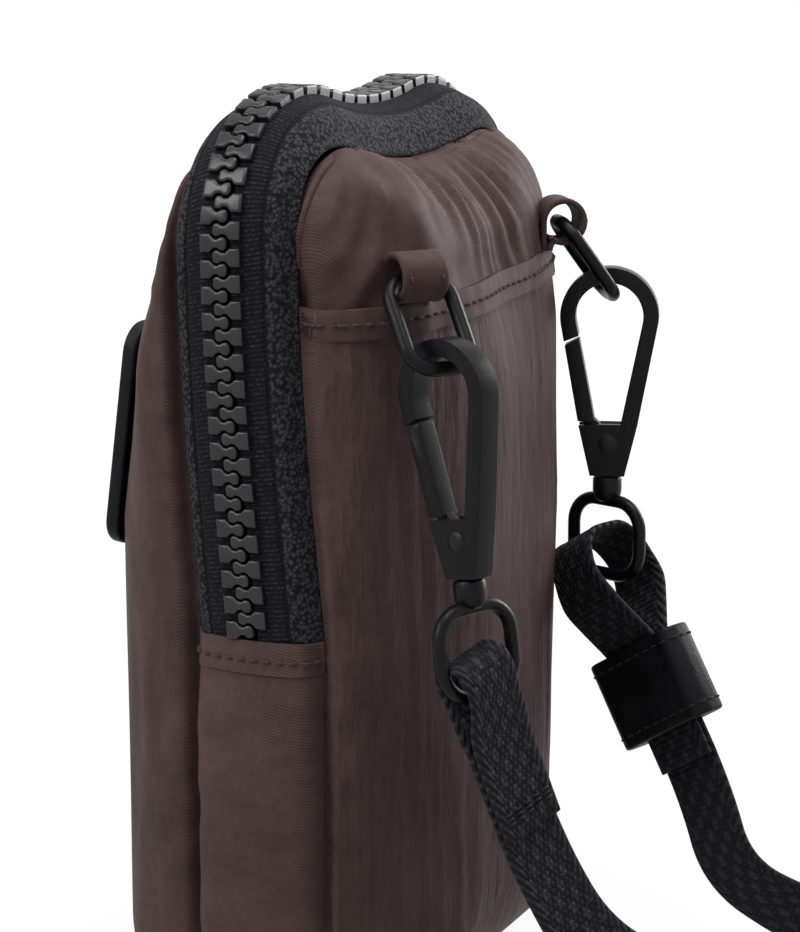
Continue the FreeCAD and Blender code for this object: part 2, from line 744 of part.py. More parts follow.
def roll_arcs():
    """Centres and radii of the roll's half turns, from one free end through the fold to the other."""
    first, second = roll_half_turns
    arcs = []
    for k in range(first - 1, -1, -1):
        arcs.append((-1, k))
    for k in range(second):
        arcs.append((1, k))
    return arcs


def roll_point(arm, k, angle, grow=0.0):
    """A point on a half turn of one arm of the roll; angle runs from 0 to 180 degrees outwards."""
    shift = roll_pitch / 2 if k % 2 else -roll_pitch / 2
    radius = (k + 0.5) * roll_pitch + grow
    turned = math.radians(angle) + (math.pi if k % 2 else 0.0)
    x, y = shift + radius * math.cos(turned), radius * math.sin(turned)
    return roll_centre + V(arm * x, arm * y, 0)


def strap_roll():
    """The strap's folded middle as one unbroken band on edge, wound from its fold."""
    sides = []
    for grow in (strap_thick / 2, -strap_thick / 2, 0.0):
        points = []
        for arm, k in roll_arcs():
            steps = [180 * n / roll_steps for n in range(roll_steps)]
            angles = steps if arm > 0 else [180 - a for a in steps]
            points += [roll_point(arm, k, a, grow * arm) for a in angles]
        arm, k = roll_arcs()[-1]
        sides.append(points + [roll_point(arm, k, 180, grow * arm)])
    edge = sides[0] + sides[1][::-1]
    face = Part.Face(Part.makePolygon(edge + edge[:1]))
    length = sum(math.pi * (k + 0.5) * roll_pitch for _, k in roll_arcs())
    middle = sides[2]
    gaps = [(a - b).Length - strap_thick for i, a in enumerate(middle) for b in middle[i + roll_steps:]]
    print("roll length", length, "least gap to itself", min(gaps))
    return face.extrude(UP * strap_width)


def main():
    """Build every piece and write it."""
    os.makedirs("parts", exist_ok=True)
    parts = {}
    make_pouch(parts)
    make_zip(parts)
    hook_shapes = make_hook_solids()
    parts["strap_roll"] = strap_roll()
    exits = {"left": roll_point(*roll_arcs()[-1], 180), "right": roll_point(*roll_arcs()[0], 180)}
    for name in HANGS:
        leave, run = make_side(name, parts, hook_shapes)
        exit_middle = exits[name] + UP * (strap_width / 2)
        route = [leave] + RUN_ROUTES[name] + [exit_middle]
        parts["strap_run_" + name] = strap_run(route, run, V(0, 1, 0))
    for name, shape in parts.items():
        box = shape.BoundBox
        print(name, len(shape.Solids), shape.isValid(), round(shape.Volume), box)
        shape.exportStep("parts/" + name + ".step")


main()
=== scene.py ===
"""Dresses the phone pouch: stuffed twill shell, moulded zip, snap hooks and webbing strap."""
import json
import logging
import math
from contextlib import contextmanager
from dataclasses import dataclass, field
from enum import Enum
from typing import Any, Callable, Iterable, Iterator, Optional, Sequence

import bmesh
import bpy
import numpy as np
from mathutils import Matrix, Vector, noise
from mathutils.bvhtree import BVHTree


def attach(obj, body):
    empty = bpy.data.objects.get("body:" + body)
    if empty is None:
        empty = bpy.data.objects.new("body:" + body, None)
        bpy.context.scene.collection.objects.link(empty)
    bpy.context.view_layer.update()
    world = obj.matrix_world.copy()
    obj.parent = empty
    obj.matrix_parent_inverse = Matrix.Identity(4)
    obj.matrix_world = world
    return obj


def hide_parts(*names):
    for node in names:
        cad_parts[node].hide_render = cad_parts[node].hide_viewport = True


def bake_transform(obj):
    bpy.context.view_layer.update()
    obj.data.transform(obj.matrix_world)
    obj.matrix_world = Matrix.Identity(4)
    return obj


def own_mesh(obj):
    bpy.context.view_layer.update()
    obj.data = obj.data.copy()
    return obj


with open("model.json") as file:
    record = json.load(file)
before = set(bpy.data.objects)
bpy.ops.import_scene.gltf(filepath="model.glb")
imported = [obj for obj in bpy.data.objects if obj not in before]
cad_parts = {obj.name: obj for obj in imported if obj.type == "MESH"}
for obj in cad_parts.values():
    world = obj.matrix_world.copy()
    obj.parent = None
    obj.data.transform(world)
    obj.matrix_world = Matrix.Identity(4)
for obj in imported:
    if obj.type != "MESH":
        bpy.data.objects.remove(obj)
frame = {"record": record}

LOG = logging.getLogger("pouch")
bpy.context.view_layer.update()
MM = 0.001
UP = Vector((0.0, 0.0, 1.0))
Point = Sequence[float]
Colour = tuple[float, float, float]
Outward = Callable[[np.ndarray], np.ndarray]
Height = Callable[[Vector], float]


class Side(Enum):
    """The two carrying sides, as seen from the back."""

    LEFT = "left"
    RIGHT = "right"

    @property
    def sign(self) -> int:
        """+1 towards +X, -1 towards -X."""
        return 1 if self is Side.LEFT else -1


class Row(Enum):
    """The front and the back panel, and the half of the zip that is sewn to each."""

    FRONT = "front"
    BACK = "back"

    @property
    def sign(self) -> int:
        """The side that it is on, along Y."""
        return -1 if self is Row.FRONT else 1


class Wire:
    """A shader socket that can be used in Python expressions."""

    def __init__(self, graph: "Graph", socket: Any) -> None:
        """Wrap a socket.

        Args:
            graph: The node tree's maker.
            socket: An output socket.
        """
        self.graph = graph
        self.socket = socket

    def _math(self, operation: str, *values: Any) -> "Wire":
        """Add a Math node on values or wires."""
        return self.graph.out("ShaderNodeMath", {"operation": operation}, dict(enumerate(values)))

    def __add__(self, other: Any) -> "Wire":
        """self + other."""
        return self._math("ADD", self, other)

    def __radd__(self, other: Any) -> "Wire":
        """other + self."""
        return self._math("ADD", other, self)

    def __sub__(self, other: Any) -> "Wire":
        """self - other."""
        return self._math("SUBTRACT", self, other)

    def __rsub__(self, other: Any) -> "Wire":
        """other - self."""
        return self._math("SUBTRACT", other, self)

    def __mul__(self, other: Any) -> "Wire":
        """self * other."""
        return self._math("MULTIPLY", self, other)

    def __rmul__(self, other: Any) -> "Wire":
        """other * self."""
        return self._math("MULTIPLY", other, self)

    def __truediv__(self, other: Any) -> "Wire":
        """self / other."""
        return self._math("DIVIDE", self, other)

    def __rtruediv__(self, other: Any) -> "Wire":
        """other / self."""
        return self._math("DIVIDE", other, self)

    def __mod__(self, other: Any) -> "Wire":
        """self modulo other, never negative."""
        return self._math("FLOORED_MODULO", self, other)

    def __abs__(self) -> "Wire":
        """The size of self."""
        return self._math("ABSOLUTE", self)

    def wave(self, pitch: float) -> "Wire":
        """A 0 to 1 sine along self with a given pitch."""
        turned = self * (2 * math.pi / pitch)
        return turned._math("SINE", turned) * 0.5 + 0.5

    def floor(self) -> "Wire":
        """The whole number below self."""
        return self._math("FLOOR", self)

    def most(self, other: Any) -> "Wire":
        """The larger of self and other."""
        return self._math("MAXIMUM", self, other)

    def ramp(self, low: float, high: float) -> "Wire":
        """0 below low, 1 above high and smooth between."""
        return self.graph.out("ShaderNodeMapRange", {"interpolation_type": "SMOOTHSTEP"},
                              {"Value": self, "From Min": low, "From Max": high})


class Graph:
    """Makes the node tree of a material or a world."""

    def __init__(self, owner: Any) -> None:
        """Start an empty node tree.

        Args:
            owner: The material or world that it belongs to.
        """
        self.owner = owner
        owner.use_nodes = True
        self.tree = owner.node_tree
        self.tree.nodes.clear()

    def node(self, kind: str, settings: dict[str, Any], inputs: dict[Any, Any]) -> bpy.types.Node:
        """Add a node, set it and feed its sockets.

        Args:
            kind: Blender's name for the node type.
            settings: Attributes to set first.
            inputs: Socket name or number to a value or a Wire.

        Returns:
            The new node.
        """
        made = self.tree.nodes.new(kind)
        for key, value in settings.items():
            setattr(made, key, value)
        for key, value in inputs.items():
            socket = made.inputs[key]
            if isinstance(value, Wire):
                self.tree.links.new(value.socket, socket)
            else:
                socket.default_value = (*value, 1.0) if socket.type == "RGBA" else value
        return made

    def out(self, kind: str, settings: dict[str, Any], inputs: dict[Any, Any], socket: Any = 0) -> Wire:
        """Add a node and wrap one of its outputs."""
        return Wire(self, self.node(kind, settings, inputs).outputs[socket])

    def cloth(self) -> tuple[Wire, Wire, Wire]:
        """The flat cloth coordinates of a piece, in metres.

        Returns:
            The vector, and its two parts.
        """
        vector = self.out("ShaderNodeUVMap", {"uv_map": "cloth"}, {})
        parts = self.node("ShaderNodeSeparateXYZ", {}, {0: vector})
        return vector, Wire(self, parts.outputs[0]), Wire(self, parts.outputs[1])

    def place(self) -> Wire:
        """Each point's place on the object, in metres."""
        return self.out("ShaderNodeTexCoord", {}, {}, "Object")

    def joined(self, x: Any, y: Any) -> Wire:
        """A flat vector from two values."""
        return self.out("ShaderNodeCombineXYZ", {}, {0: x, 1: y})

    def noise(self, vector: Wire, scale: float, detail: float = 2.0, rough: float = 0.5) -> Wire:
        """Soft noise from 0 to 1."""
        return self.out("ShaderNodeTexNoise", {}, {"Vector": vector, "Scale": scale, "Detail": detail,
                                                   "Roughness": rough})

    def cells(self, vector: Wire, scale: float) -> Wire:
        """Distance to the nearest of a field of scattered points."""
        return self.out("ShaderNodeTexVoronoi", {}, {"Vector": vector, "Scale": scale})

    def mix(self, share: Any, one: Any, two: Any) -> Wire:
        """Blend two colours.

        Args:
            share: How much of the second.
            one: A colour or Wire.
            two: A colour or Wire.

        Returns:
            The blended colour.
        """
        return self.out("ShaderNodeMix", {"data_type": "RGBA"}, {0: share, 6: one, 7: two}, 2)

    def bump(self, height: Wire, distance: float) -> Wire:
        """A normal from a height."""
        return self.out("ShaderNodeBump", {}, {"Height": height, "Distance": distance, "Strength": 1.0})

    def surface(self, **inputs: Any) -> bpy.types.Material:
        """Finish with a principled surface.

        Args:
            inputs: Socket names, with _ for a space, to values or Wires.

        Returns:
            The finished material.
        """
        feeds = {key.replace("_", " "): value for key, value in inputs.items()}
        self.node("ShaderNodeOutputMaterial", {}, {0: self.out("ShaderNodeBsdfPrincipled", {}, feeds)})
        return self.owner


@dataclass(frozen=True)
class Twill:
    """Stuffed nylon twill: a fine diagonal weave, crinkled and a little shiny on its folds."""

    name: str
    dark: Colour
    pale: Colour
    pitch: float = 0.0005
    crinkle: float = 1.0
    upright: float = 4.0
    slant: tuple[float, float] = (0.8, -0.6)
    yarn: float = 2.7
    fold_scale: float = 70.0
    cloud_scale: float = 28.0
    worn_scale: float = 420.0
    relief: float = 0.0006

    def make(self) -> bpy.types.Material:
        """Build the material.

        Returns:
            The finished material.
        """
        g = Graph(bpy.data.materials.new(self.name))
        vector, u, v = g.cloth()
        along, over = self.slant
        line = (u * along + v * over).wave(self.pitch)
        yarn = (u * over - v * along).wave(self.pitch * self.yarn)
        weave = line * (0.75 + yarn * 0.25)
        folds = g.noise(g.joined(u * self.upright, v), self.fold_scale, 3.0, 0.55)
        broad = g.noise(vector, self.cloud_scale)
        wear_and_highlight = g.noise(vector, self.worn_scale)
        tone = (broad * 0.45 + folds * 0.35 + weave * 0.22 + wear_and_highlight * 0.24 - 0.18).ramp(0.05, 0.85)
        height = weave * 0.085 + folds * (0.9 * self.crinkle) + wear_and_highlight * 0.12
        return g.surface(Base_Color=g.mix(tone, self.dark, self.pale), Roughness=0.68 - tone * 0.14,
                         Normal=g.bump(height, self.relief), Specular_IOR_Level=0.13)


@dataclass(frozen=True)
class ZipTape:
    """Knitted zip tape: fine ribs beside the teeth and a pebbly knit outside them, their tops paler, partly
    the knit's own tone and partly painted highlight, with painted shade in the groove between.
    """

    name: str
    dark: Colour
    pale: Colour
    rib_edge: float = 0.0088
    rib: float = 0.0009
    stitch: float = 0.0008
    edge_soft: float = 0.0003
    # width of the groove's sunk bump and of its painted shade
    groove: float = 0.0007
    relief: float = 0.00025

    def make(self) -> bpy.types.Material:
        """Build the material; u runs along the chain and v is the distance from its middle.

        Returns:
            The finished material.
        """
        g = Graph(bpy.data.materials.new(self.name))
        vector, u, across = g.cloth()
        v = abs(across)
        outer = v.ramp(self.rib_edge - self.edge_soft, self.rib_edge + self.edge_soft)
        ribs = u.wave(self.rib)
        pebble = 1 - g.cells(g.place(), 1 / self.stitch)
        height = ribs * pebble * (1 - outer) + pebble * outer * 1.2
        groove = 1 - abs(v - self.rib_edge).ramp(0.0, self.groove)
        # Painted light: rib and pebble tops paler, partly the knit's own tone and partly highlight; the
        # groove beside the ribs darker, a painted shade.
        tone = (height * 0.8 + g.noise(vector, 300.0) * 0.2 - groove * 0.4).ramp(0.3, 1.0)
        return g.surface(Base_Color=g.mix(tone, self.dark, self.pale), Roughness=0.85 - tone * 0.1,
                         Normal=g.bump(height - groove, self.relief), Specular_IOR_Level=0.15)


@dataclass(frozen=True)
class Webbing:
    """Heavy woven strap: coarse ribs, staggered raised dashes and a braid along each edge."""

    name: str
    dark: Colour
    pale: Colour
    half: float = 0.0075
    edge: float = 0.0019
    edge_soft: float = 0.0002
    pick: float = 0.0013
    twist: float = 0.0026
    lane: float = 0.0021
    stagger: float = 0.0023
    repeat: float = 0.0056
    dash_start: tuple[float, float] = (0.0005, 0.0011)
    dash_end: tuple[float, float] = (0.0030, 0.0037)
    dash_side: tuple[float, float] = (0.0005, 0.0009)
    relief: float = 0.0004

    def make(self) -> bpy.types.Material:
        """Build the material; u runs along the strap and v across it from its middle.

        Returns:
            The finished material.
        """
        g = Graph(bpy.data.materials.new(self.name))
        vector, u, v = g.cloth()
        side = abs(v)
        rim = self.half - self.edge
        braid = side.ramp(rim - self.edge_soft, rim + self.edge_soft)
        rib = u.wave(self.pick) * (v + (u / self.pick).floor() * self.pick * 0.5).wave(self.pick)
        twist = (u + side * 1.4).wave(self.twist)
        row = (v / self.lane).floor()
        along = (u + row * self.stagger) % self.repeat
        dash = along.ramp(*self.dash_start) * (1 - along.ramp(*self.dash_end))
        inset = abs(v % self.lane - self.lane / 2)
        dash = dash * (1 - inset.ramp(*self.dash_side)) * (1 - braid)
        height = (rib * 0.7 + dash * 0.5) * (1 - braid) + twist * braid * 1.2
        woven = rib * 0.30 + dash * 0.30 + twist * braid * 0.4
        tone = (woven + g.noise(vector, 500.0) * 0.35 - 0.1).ramp(0.0, 1.0)
        return g.surface(Base_Color=g.mix(tone, self.dark, self.pale), Roughness=0.8 - dash * 0.15,
                         Normal=g.bump(height, self.relief), Specular_IOR_Level=0.15)


@dataclass(frozen=True)
class PowderCoat:
    """Matt coated metal with a fine orange peel and a painted highlight along its sharp edges."""

    name: str
    colour: Colour
    # colour of the painted highlight along sharp edges
    wear_and_highlight: Colour
    rough: float = 0.34
    peel: float = 0.00004

    def make(self) -> bpy.types.Material:
        """Build the material.

        Returns:
            The finished material.
        """
        g = Graph(bpy.data.materials.new(self.name))
        where = g.place()
        grain = g.noise(where, 2600.0, 2.0)
        smear = g.noise(where, 160.0, 3.0)
        edge = g.out("ShaderNodeNewGeometry", {}, {}, "Pointiness").ramp(0.53, 0.62)
        # Painted highlight: sharp convex edges, broken up by the smear noise, turn paler and partly metallic.
        edge_highlight = edge * smear.ramp(0.45, 0.75)
        return g.surface(Base_Color=g.mix(edge_highlight, self.colour, self.wear_and_highlight),
                         Roughness=self.rough + smear * 0.16 - 0.08, Metallic=edge_highlight * 0.4,
                         Normal=g.bump(grain, self.peel), Specular_IOR_Level=0.13)


@dataclass(frozen=True)
class Moulded:
    """Satin moulded plastic, faintly uneven."""

    name: str
    colour: Colour
    pale: Colour
    rough: float = 0.26

    def make(self) -> bpy.types.Material:
        """Build the material.

        Returns:
            The finished material.
        """
        g = Graph(bpy.data.materials.new(self.name))
        where = g.place()
        cloud = g.noise(where, 240.0, 2.0)
        grain = g.noise(where, 3200.0, 1.0)
        return g.surface(Base_Color=g.mix(cloud, self.colour, self.pale), Roughness=self.rough + cloud * 0.14,
                         Normal=g.bump(grain * 0.4 + cloud, 0.00005), Specular_IOR_Level=0.4)


@dataclass(frozen=True)
class Leather:
    """Smooth finished leather with a close grain."""

    name: str
    colour: Colour
    pale: Colour
    grain: float = 1500.0

    def make(self) -> bpy.types.Material:
        """Build the material.

        Returns:
            The finished material.
        """
        g = Graph(bpy.data.materials.new(self.name))
        where = g.place()
        pores = g.cells(where, self.grain)
        cloud = g.noise(where, 130.0, 3.0)
        creases = g.noise(where, 420.0, 4.0, 0.6)
        tone = (cloud * 0.6 + creases * 0.4).ramp(0.3, 0.75)
        return g.surface(Base_Color=g.mix(tone, self.colour, self.pale), Roughness=0.4 + cloud * 0.2,
                         Normal=g.bump(pores * 0.35 + creases, 0.00012), Specular_IOR_Level=0.12)


@dataclass(frozen=True)
class Thread:
    """Twisted sewing thread."""

    name: str
    dark: Colour
    pale: Colour
    twist: float = 0.00045

    def make(self) -> bpy.types.Material:
        """Build the material; u runs along each stitch and v round it.

        Returns:
            The finished material.
        """
        g = Graph(bpy.data.materials.new(self.name))
        _, u, v = g.cloth()
        ply = (u + v * self.twist).wave(self.twist)
        fluff = g.noise(g.place(), 1800.0)
        tone = ply * 0.7 + fluff * 0.3
        return g.surface(Base_Color=g.mix(tone, self.dark, self.pale), Roughness=0.55 + fluff * 0.2,
                         Normal=g.bump(ply, 0.00012), Specular_IOR_Level=0.15)


class Palette:
    """Every finish of the pouch, made once."""

    def __init__(self) -> None:
        """Make the materials."""
        self.shell = Twill("taupe_twill", (0.037, 0.0205, 0.0195), (0.099, 0.0615, 0.058),
                           crinkle=0.4, upright=2.5).make()
        self.pocket = Twill("taupe_twill_pocket", (0.034, 0.0187, 0.0178), (0.102, 0.0635, 0.060),
                            crinkle=1.3, upright=6.0).make()
        self.gusset = Twill("taupe_twill_gusset", (0.040, 0.0225, 0.0215), (0.112, 0.070, 0.066),
                            pitch=0.00056, crinkle=0.4, upright=2.5, slant=(0.97, 0.25)).make()
        self.lining = Twill("lining_cloth", (0.006, 0.005, 0.005), (0.02, 0.018, 0.017), crinkle=0.5).make()
        self.tape = ZipTape("zip_tape_knit", (0.0040, 0.0039, 0.0049), (0.052, 0.0500, 0.0595)).make()
        self.teeth = Moulded("zip_tooth_plastic", (0.0065, 0.0062, 0.0076), (0.012, 0.0115, 0.0138)).make()
        # The second colour of each coat is its painted highlight along sharp edges.
        self.metal = PowderCoat("black_powder_coat", (0.0042, 0.0039, 0.0050), (0.05, 0.05, 0.055)).make()
        self.rivet = PowderCoat("rivet_black", (0.014, 0.014, 0.015), (0.08, 0.08, 0.085)).make()
        self.webbing = Webbing("black_webbing", (0.0056, 0.0053, 0.0066), (0.042, 0.0400, 0.0465)).make()
        self.leather = Leather("black_leather", (0.0035, 0.0033, 0.0042), (0.0085, 0.0080, 0.0098)).make()
        self.brown_thread = Thread("brown_thread", (0.030, 0.019, 0.018), (0.10, 0.068, 0.064)).make()
        self.black_thread = Thread("black_thread", (0.006, 0.006, 0.006), (0.035, 0.034, 0.034)).make()


def held(value: float) -> float:
    """A value held between 0 and 1."""
    return min(1.0, max(0.0, value))


def metres(points: Iterable[Point]) -> list[Vector]:
    """Points in millimetres as vectors in metres."""
    return [Vector(p) * MM for p in points]


def make_mesh(name: str, points: Sequence[Point], faces: Sequence[Sequence[int]],
              cloth: Sequence[Point] = ()) -> bpy.types.Object:
    """Make a smooth-shaded mesh object.

    Args:
        name: The object's name.
        points: Corners, in millimetres.
        faces: Corner numbers of each face.
        cloth: Flat cloth coordinates of each corner, in millimetres.

    Returns:
        The new object, in the scene.
    """
    mesh = bpy.data.meshes.new(name)
    mesh.from_pydata([tuple(p) for p in metres(points)], [], [tuple(f) for f in faces])
    if len(cloth):
        layer = mesh.uv_layers.new(name="cloth")
        for loop in mesh.loops:
            u, v = cloth[loop.vertex_index]
            layer.data[loop.index].uv = (u * MM, v * MM)
    for polygon in mesh.polygons:
        polygon.use_smooth = True
    mesh.update()
    made = bpy.data.objects.new(name, mesh)
    bpy.context.scene.collection.objects.link(made)
    return made


def grid_faces(rows: int, columns: int, closed: bool = False) -> list[tuple[int, int, int, int]]:
    """Faces of a grid of points.

    Args:
        rows: How many rows of points.
        columns: How many points in each.
        closed: Whether each row's last point joins its first.

    Returns:
        The faces.
    """
    faces = []
    for r in range(rows - 1):
        for c in range(columns if closed else columns - 1):
            d = (c + 1) % columns
            faces.append((r * columns + c, r * columns + d, (r + 1) * columns + d, (r + 1) * columns + c))
    return faces


def apply_all(piece: bpy.types.Object) -> bpy.types.Object:
    """Work a piece's modifiers into its mesh.

    Args:
        piece: The object.

    Returns:
        The same object, with no modifier left.
    """
    bpy.context.view_layer.update()
    graph = bpy.context.evaluated_depsgraph_get()
    mesh = bpy.data.meshes.new_from_object(piece.evaluated_get(graph), preserve_all_data_layers=True,
                                           depsgraph=graph)
    piece.modifiers.clear()
    piece.data = mesh
    return piece


def modify(piece: bpy.types.Object, kind: str, **settings: Any) -> bpy.types.Object:
    """Add a modifier.

    Args:
        piece: The object.
        kind: Blender's name for the modifier type.
        settings: Attributes to set on it.

    Returns:
        The same object.
    """
    made = piece.modifiers.new(kind.lower(), kind)
    for key, value in settings.items():
        setattr(made, key, value)
    return piece


def thicken(piece: bpy.types.Object, thick: float) -> bpy.types.Object:
    """Give a single layer its thickness in millimetres, inwards, and return it."""
    return apply_all(modify(piece, "SOLIDIFY", thickness=thick * MM, offset=-1.0))


@contextmanager
def editing(piece: bpy.types.Object) -> Iterator[bmesh.types.BMesh]:
    """Open a piece's mesh and put it back when done.

    Args:
        piece: The object.

    Returns:
        The open mesh, as a context.
    """
    shape = bmesh.new()
    shape.from_mesh(piece.data)
    yield shape
    shape.to_mesh(piece.data)
    shape.free()


def bisect(shape: bmesh.types.BMesh, point: Point, normal: Point, clear: bool) -> list[Any]:
    """Cut an open mesh along a plane.

    Args:
        shape: The mesh.
        point: A point of the plane, in millimetres.
        normal: The plane's normal.
        clear: Whether to cut away what lies beyond it.

    Returns:
        The points and edges on the plane.
    """
    everything = shape.verts[:] + shape.edges[:] + shape.faces[:]
    return bmesh.ops.bisect_plane(shape, geom=everything, plane_co=Vector(point) * MM,
                                  plane_no=Vector(normal), clear_outer=clear)["geom_cut"]


def slice_off(piece: bpy.types.Object, point: Point, normal: Point) -> None:
    """Cut away what lies beyond a plane, given by a point in millimetres and its normal."""
    with editing(piece) as shape:
        bisect(shape, point, normal, True)


def turn_outwards(piece: bpy.types.Object) -> bpy.types.Object:
    """Turn every face of a closed piece outwards, and return it."""
    with editing(piece) as shape:
        bmesh.ops.recalc_face_normals(shape, faces=shape.faces[:])
    return piece


def rounded_box(half_width: float, half_height: float, corner: float, steps: int) -> list[Point]:
    """Points round a box with rounded corners.

    Args:
        half_width: Half its width, in millimetres.
        half_height: Half its height.
        corner: The radius of its corners.
        steps: Points to each corner.

    Returns:
        The points (x, y).
    """
    x, y = half_width - corner, half_height - corner
    points = []
    for cx, cy, start in ((x, y, 0), (-x, y, 90), (-x, -y, 180), (x, -y, 270)):
        points += [(cx + corner * math.cos(math.radians(a)), cy + corner * math.sin(math.radians(a)))
                   for a in np.linspace(start, start + 90, steps)]
    return points


def dress(piece: bpy.types.Object, material: bpy.types.Material, body: Optional[str] = "pouch",
          nodes: Sequence[str] = ()) -> bpy.types.Object:
    """Give a piece its finish, its body and the solids it stands for.

    Args:
        piece: The object.
        material: Its finish.
        body: The body that it rides on, or None where it bends between two.
        nodes: Solids that it replaces.

    Returns:
        The same object.
    """
    piece.data.materials.clear()
    piece.data.materials.append(material)
    if body:
        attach(piece, body)
    if nodes:
        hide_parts(*nodes)
    LOG.info("%s: %d faces", piece.name, len(piece.data.polygons))
    return piece


def smooth_line(points: Sequence[Point], steps: int = 12) -> np.ndarray:
    """A smooth line with points as its controls, in millimetres.

    Args:
        points: Control points, in millimetres.
        steps: Samples to each control point.

    Returns:
        The line's points, in millimetres.
    """
    curve = bpy.data.curves.new("line", "CURVE")
    curve.dimensions = "3D"
    spline = curve.splines.new("NURBS")
    spline.points.add(len(points) - 1)
    for target, point in zip(spline.points, points):
        target.co = (*(Vector(point) * MM), 1.0)
    spline.order_u = 3
    spline.use_endpoint_u = True
    spline.resolution_u = steps
    holder = bpy.data.objects.new("line", curve)
    bpy.context.scene.collection.objects.link(holder)
    bpy.context.view_layer.update()
    graph = bpy.context.evaluated_depsgraph_get()
    mesh = bpy.data.meshes.new_from_object(holder.evaluated_get(graph))
    line = np.array([v.co for v in mesh.vertices]) / MM
    bpy.data.objects.remove(holder)
    bpy.data.curves.remove(curve)
    bpy.data.meshes.remove(mesh)
    return line


def lengths_along(line: np.ndarray) -> np.ndarray:
    """Distance along a line at each of its points."""
    return np.concatenate([[0.0], np.cumsum(np.linalg.norm(np.diff(line, axis=0), axis=1))])


def spaced_along(line: np.ndarray, spacing: float) -> tuple[np.ndarray, np.ndarray]:
    """Places and directions along a line at an even spacing.

    Args:
        line: Points in millimetres.
        spacing: Distance from one place to the next.

    Returns:
        The places and the unit directions there.
    """
    far = lengths_along(line)

    def point(at: np.ndarray) -> np.ndarray:
        """The line's points at distances along it."""
        return np.stack([np.interp(at, far, line[:, k]) for k in range(3)], axis=1)

    count = max(1, int(far[-1] / spacing))
    at = (np.arange(count) + 0.5) * far[-1] / count
    step = spacing * 0.3
    along = point(at + step) - point(at - step)
    return point(at), along / np.linalg.norm(along, axis=1)[:, None]


def tube(name: str, line: Sequence[Point], radius: float, sides: int = 20) -> bpy.types.Object:
    """A closed ring of round bar along a line that lies in a plane.

    Args:
        name: The object's name.
        line: Points in millimetres.
        radius: The bar's radius.
        sides: Points round the bar.

    Returns:
        The new object.
    """
    path = np.array([tuple(p) for p in line])
    ahead = np.roll(path, -1, 0) - np.roll(path, 1, 0)
    flat = np.linalg.svd(path - path.mean(0))[2][2]
    points = []
    for place, along in zip(path, ahead):
        out = np.cross(along / np.linalg.norm(along), flat)
        points += [place + radius * (math.cos(a) * out + math.sin(a) * flat)
                   for a in np.linspace(0, 2 * math.pi, sides, endpoint=False)]
    faces = grid_faces(len(path), sides, True)
    last = (len(path) - 1) * sides
    faces += [(last + c, last + (c + 1) % sides, (c + 1) % sides, c) for c in range(sides)]
    return turn_outwards(make_mesh(name, points, faces))


def slab(name: str, outline: Sequence[Point], thick: float, axes: Matrix, edge: float, steps: int = 3,
         holes: Sequence[Sequence[Point]] = ()) -> bpy.types.Object:
    """A plate of a given outline with softened edges.

    Args:
        name: The object's name.
        outline: Corners (x, y) in millimetres, in the plate's own axes.
        thick: Its thickness, half to each side.
        axes: The plate's own axes, with their origin in millimetres.
        edge: The radius of its edges.
        steps: Faces round each edge.
        holes: Outlines of holes through it.

    Returns:
        The new object.
    """
    shape = bmesh.new()
    rims = []
    for loop in (outline, *holes):
        corners = [shape.verts.new((x, y, -thick / 2)) for x, y in loop]
        rims += [shape.edges.new((a, b)) for a, b in zip(corners, corners[1:] + corners[:1])]
    made = bmesh.ops.triangle_fill(shape, use_beauty=True, use_dissolve=True, edges=rims)
    faces = [f for f in made["geom"] if isinstance(f, bmesh.types.BMFace)]
    raised = bmesh.ops.extrude_face_region(shape, geom=faces)
    tops = [v for v in raised["geom"] if isinstance(v, bmesh.types.BMVert)]
    bmesh.ops.translate(shape, vec=(0, 0, thick), verts=tops)
    bmesh.ops.recalc_face_normals(shape, faces=shape.faces[:])
    rounded = [e for e in shape.edges if len(e.link_faces) == 2 and e.calc_face_angle(0.0) > 0.6]
    bmesh.ops.bevel(shape, geom=rounded, offset=edge, segments=steps, profile=0.5, affect="EDGES",
                    clamp_overlap=True)
    shape.transform(Matrix.Scale(MM, 4) @ axes)
    bmesh.ops.recalc_face_normals(shape, faces=shape.faces[:])
    mesh = bpy.data.meshes.new(name)
    shape.to_mesh(mesh)
    shape.free()
    for polygon in mesh.polygons:
        polygon.use_smooth = True
    mesh.set_sharp_from_angle(angle=math.radians(38))
    piece = bpy.data.objects.new(name, mesh)
    bpy.context.scene.collection.objects.link(piece)
    return piece


def ribbon(name: str, line: np.ndarray, across: Callable[[int, np.ndarray], np.ndarray], width: float,
           thick: float) -> bpy.types.Object:
    """A flat strap along a line, a little thinner in its middle than at its edges.

    Args:
        name: The object's name.
        line: Points along its middle, in millimetres.
        across: Gives the unit direction across it, from a point's number and the direction there.
        width: The strap's width.
        thick: Its thickness.

    Returns:
        The new object.
    """
    profile = [(-1.0, 0.45), (-0.94, 0.95), (-0.80, 1.0), (-0.72, 0.84), (-0.4, 0.86), (0.0, 0.86),
               (0.4, 0.86), (0.72, 0.84), (0.80, 1.0), (0.94, 0.95), (1.0, 0.45)]
    section = profile + [(a, -b) for a, b in profile[::-1]]
    far = lengths_along(line)
    points, cloth = [], []
    for n, place in enumerate(line):
        along = line[min(n + 1, len(line) - 1)] - line[max(n - 1, 0)]
        along = along / np.linalg.norm(along)
        side = across(n, along)
        face = np.cross(along, side)
        for a, b in section:
            points.append(place + side * (a * width / 2) + face * (b * thick / 2))
            cloth.append((far[n], a * width / 2))
    size = len(section)
    last = (len(line) - 1) * size
    faces = grid_faces(len(line), size, True)
    faces += [tuple(range(size))[::-1], tuple(range(last, last + size))]
    return make_mesh(name, points, faces, cloth)


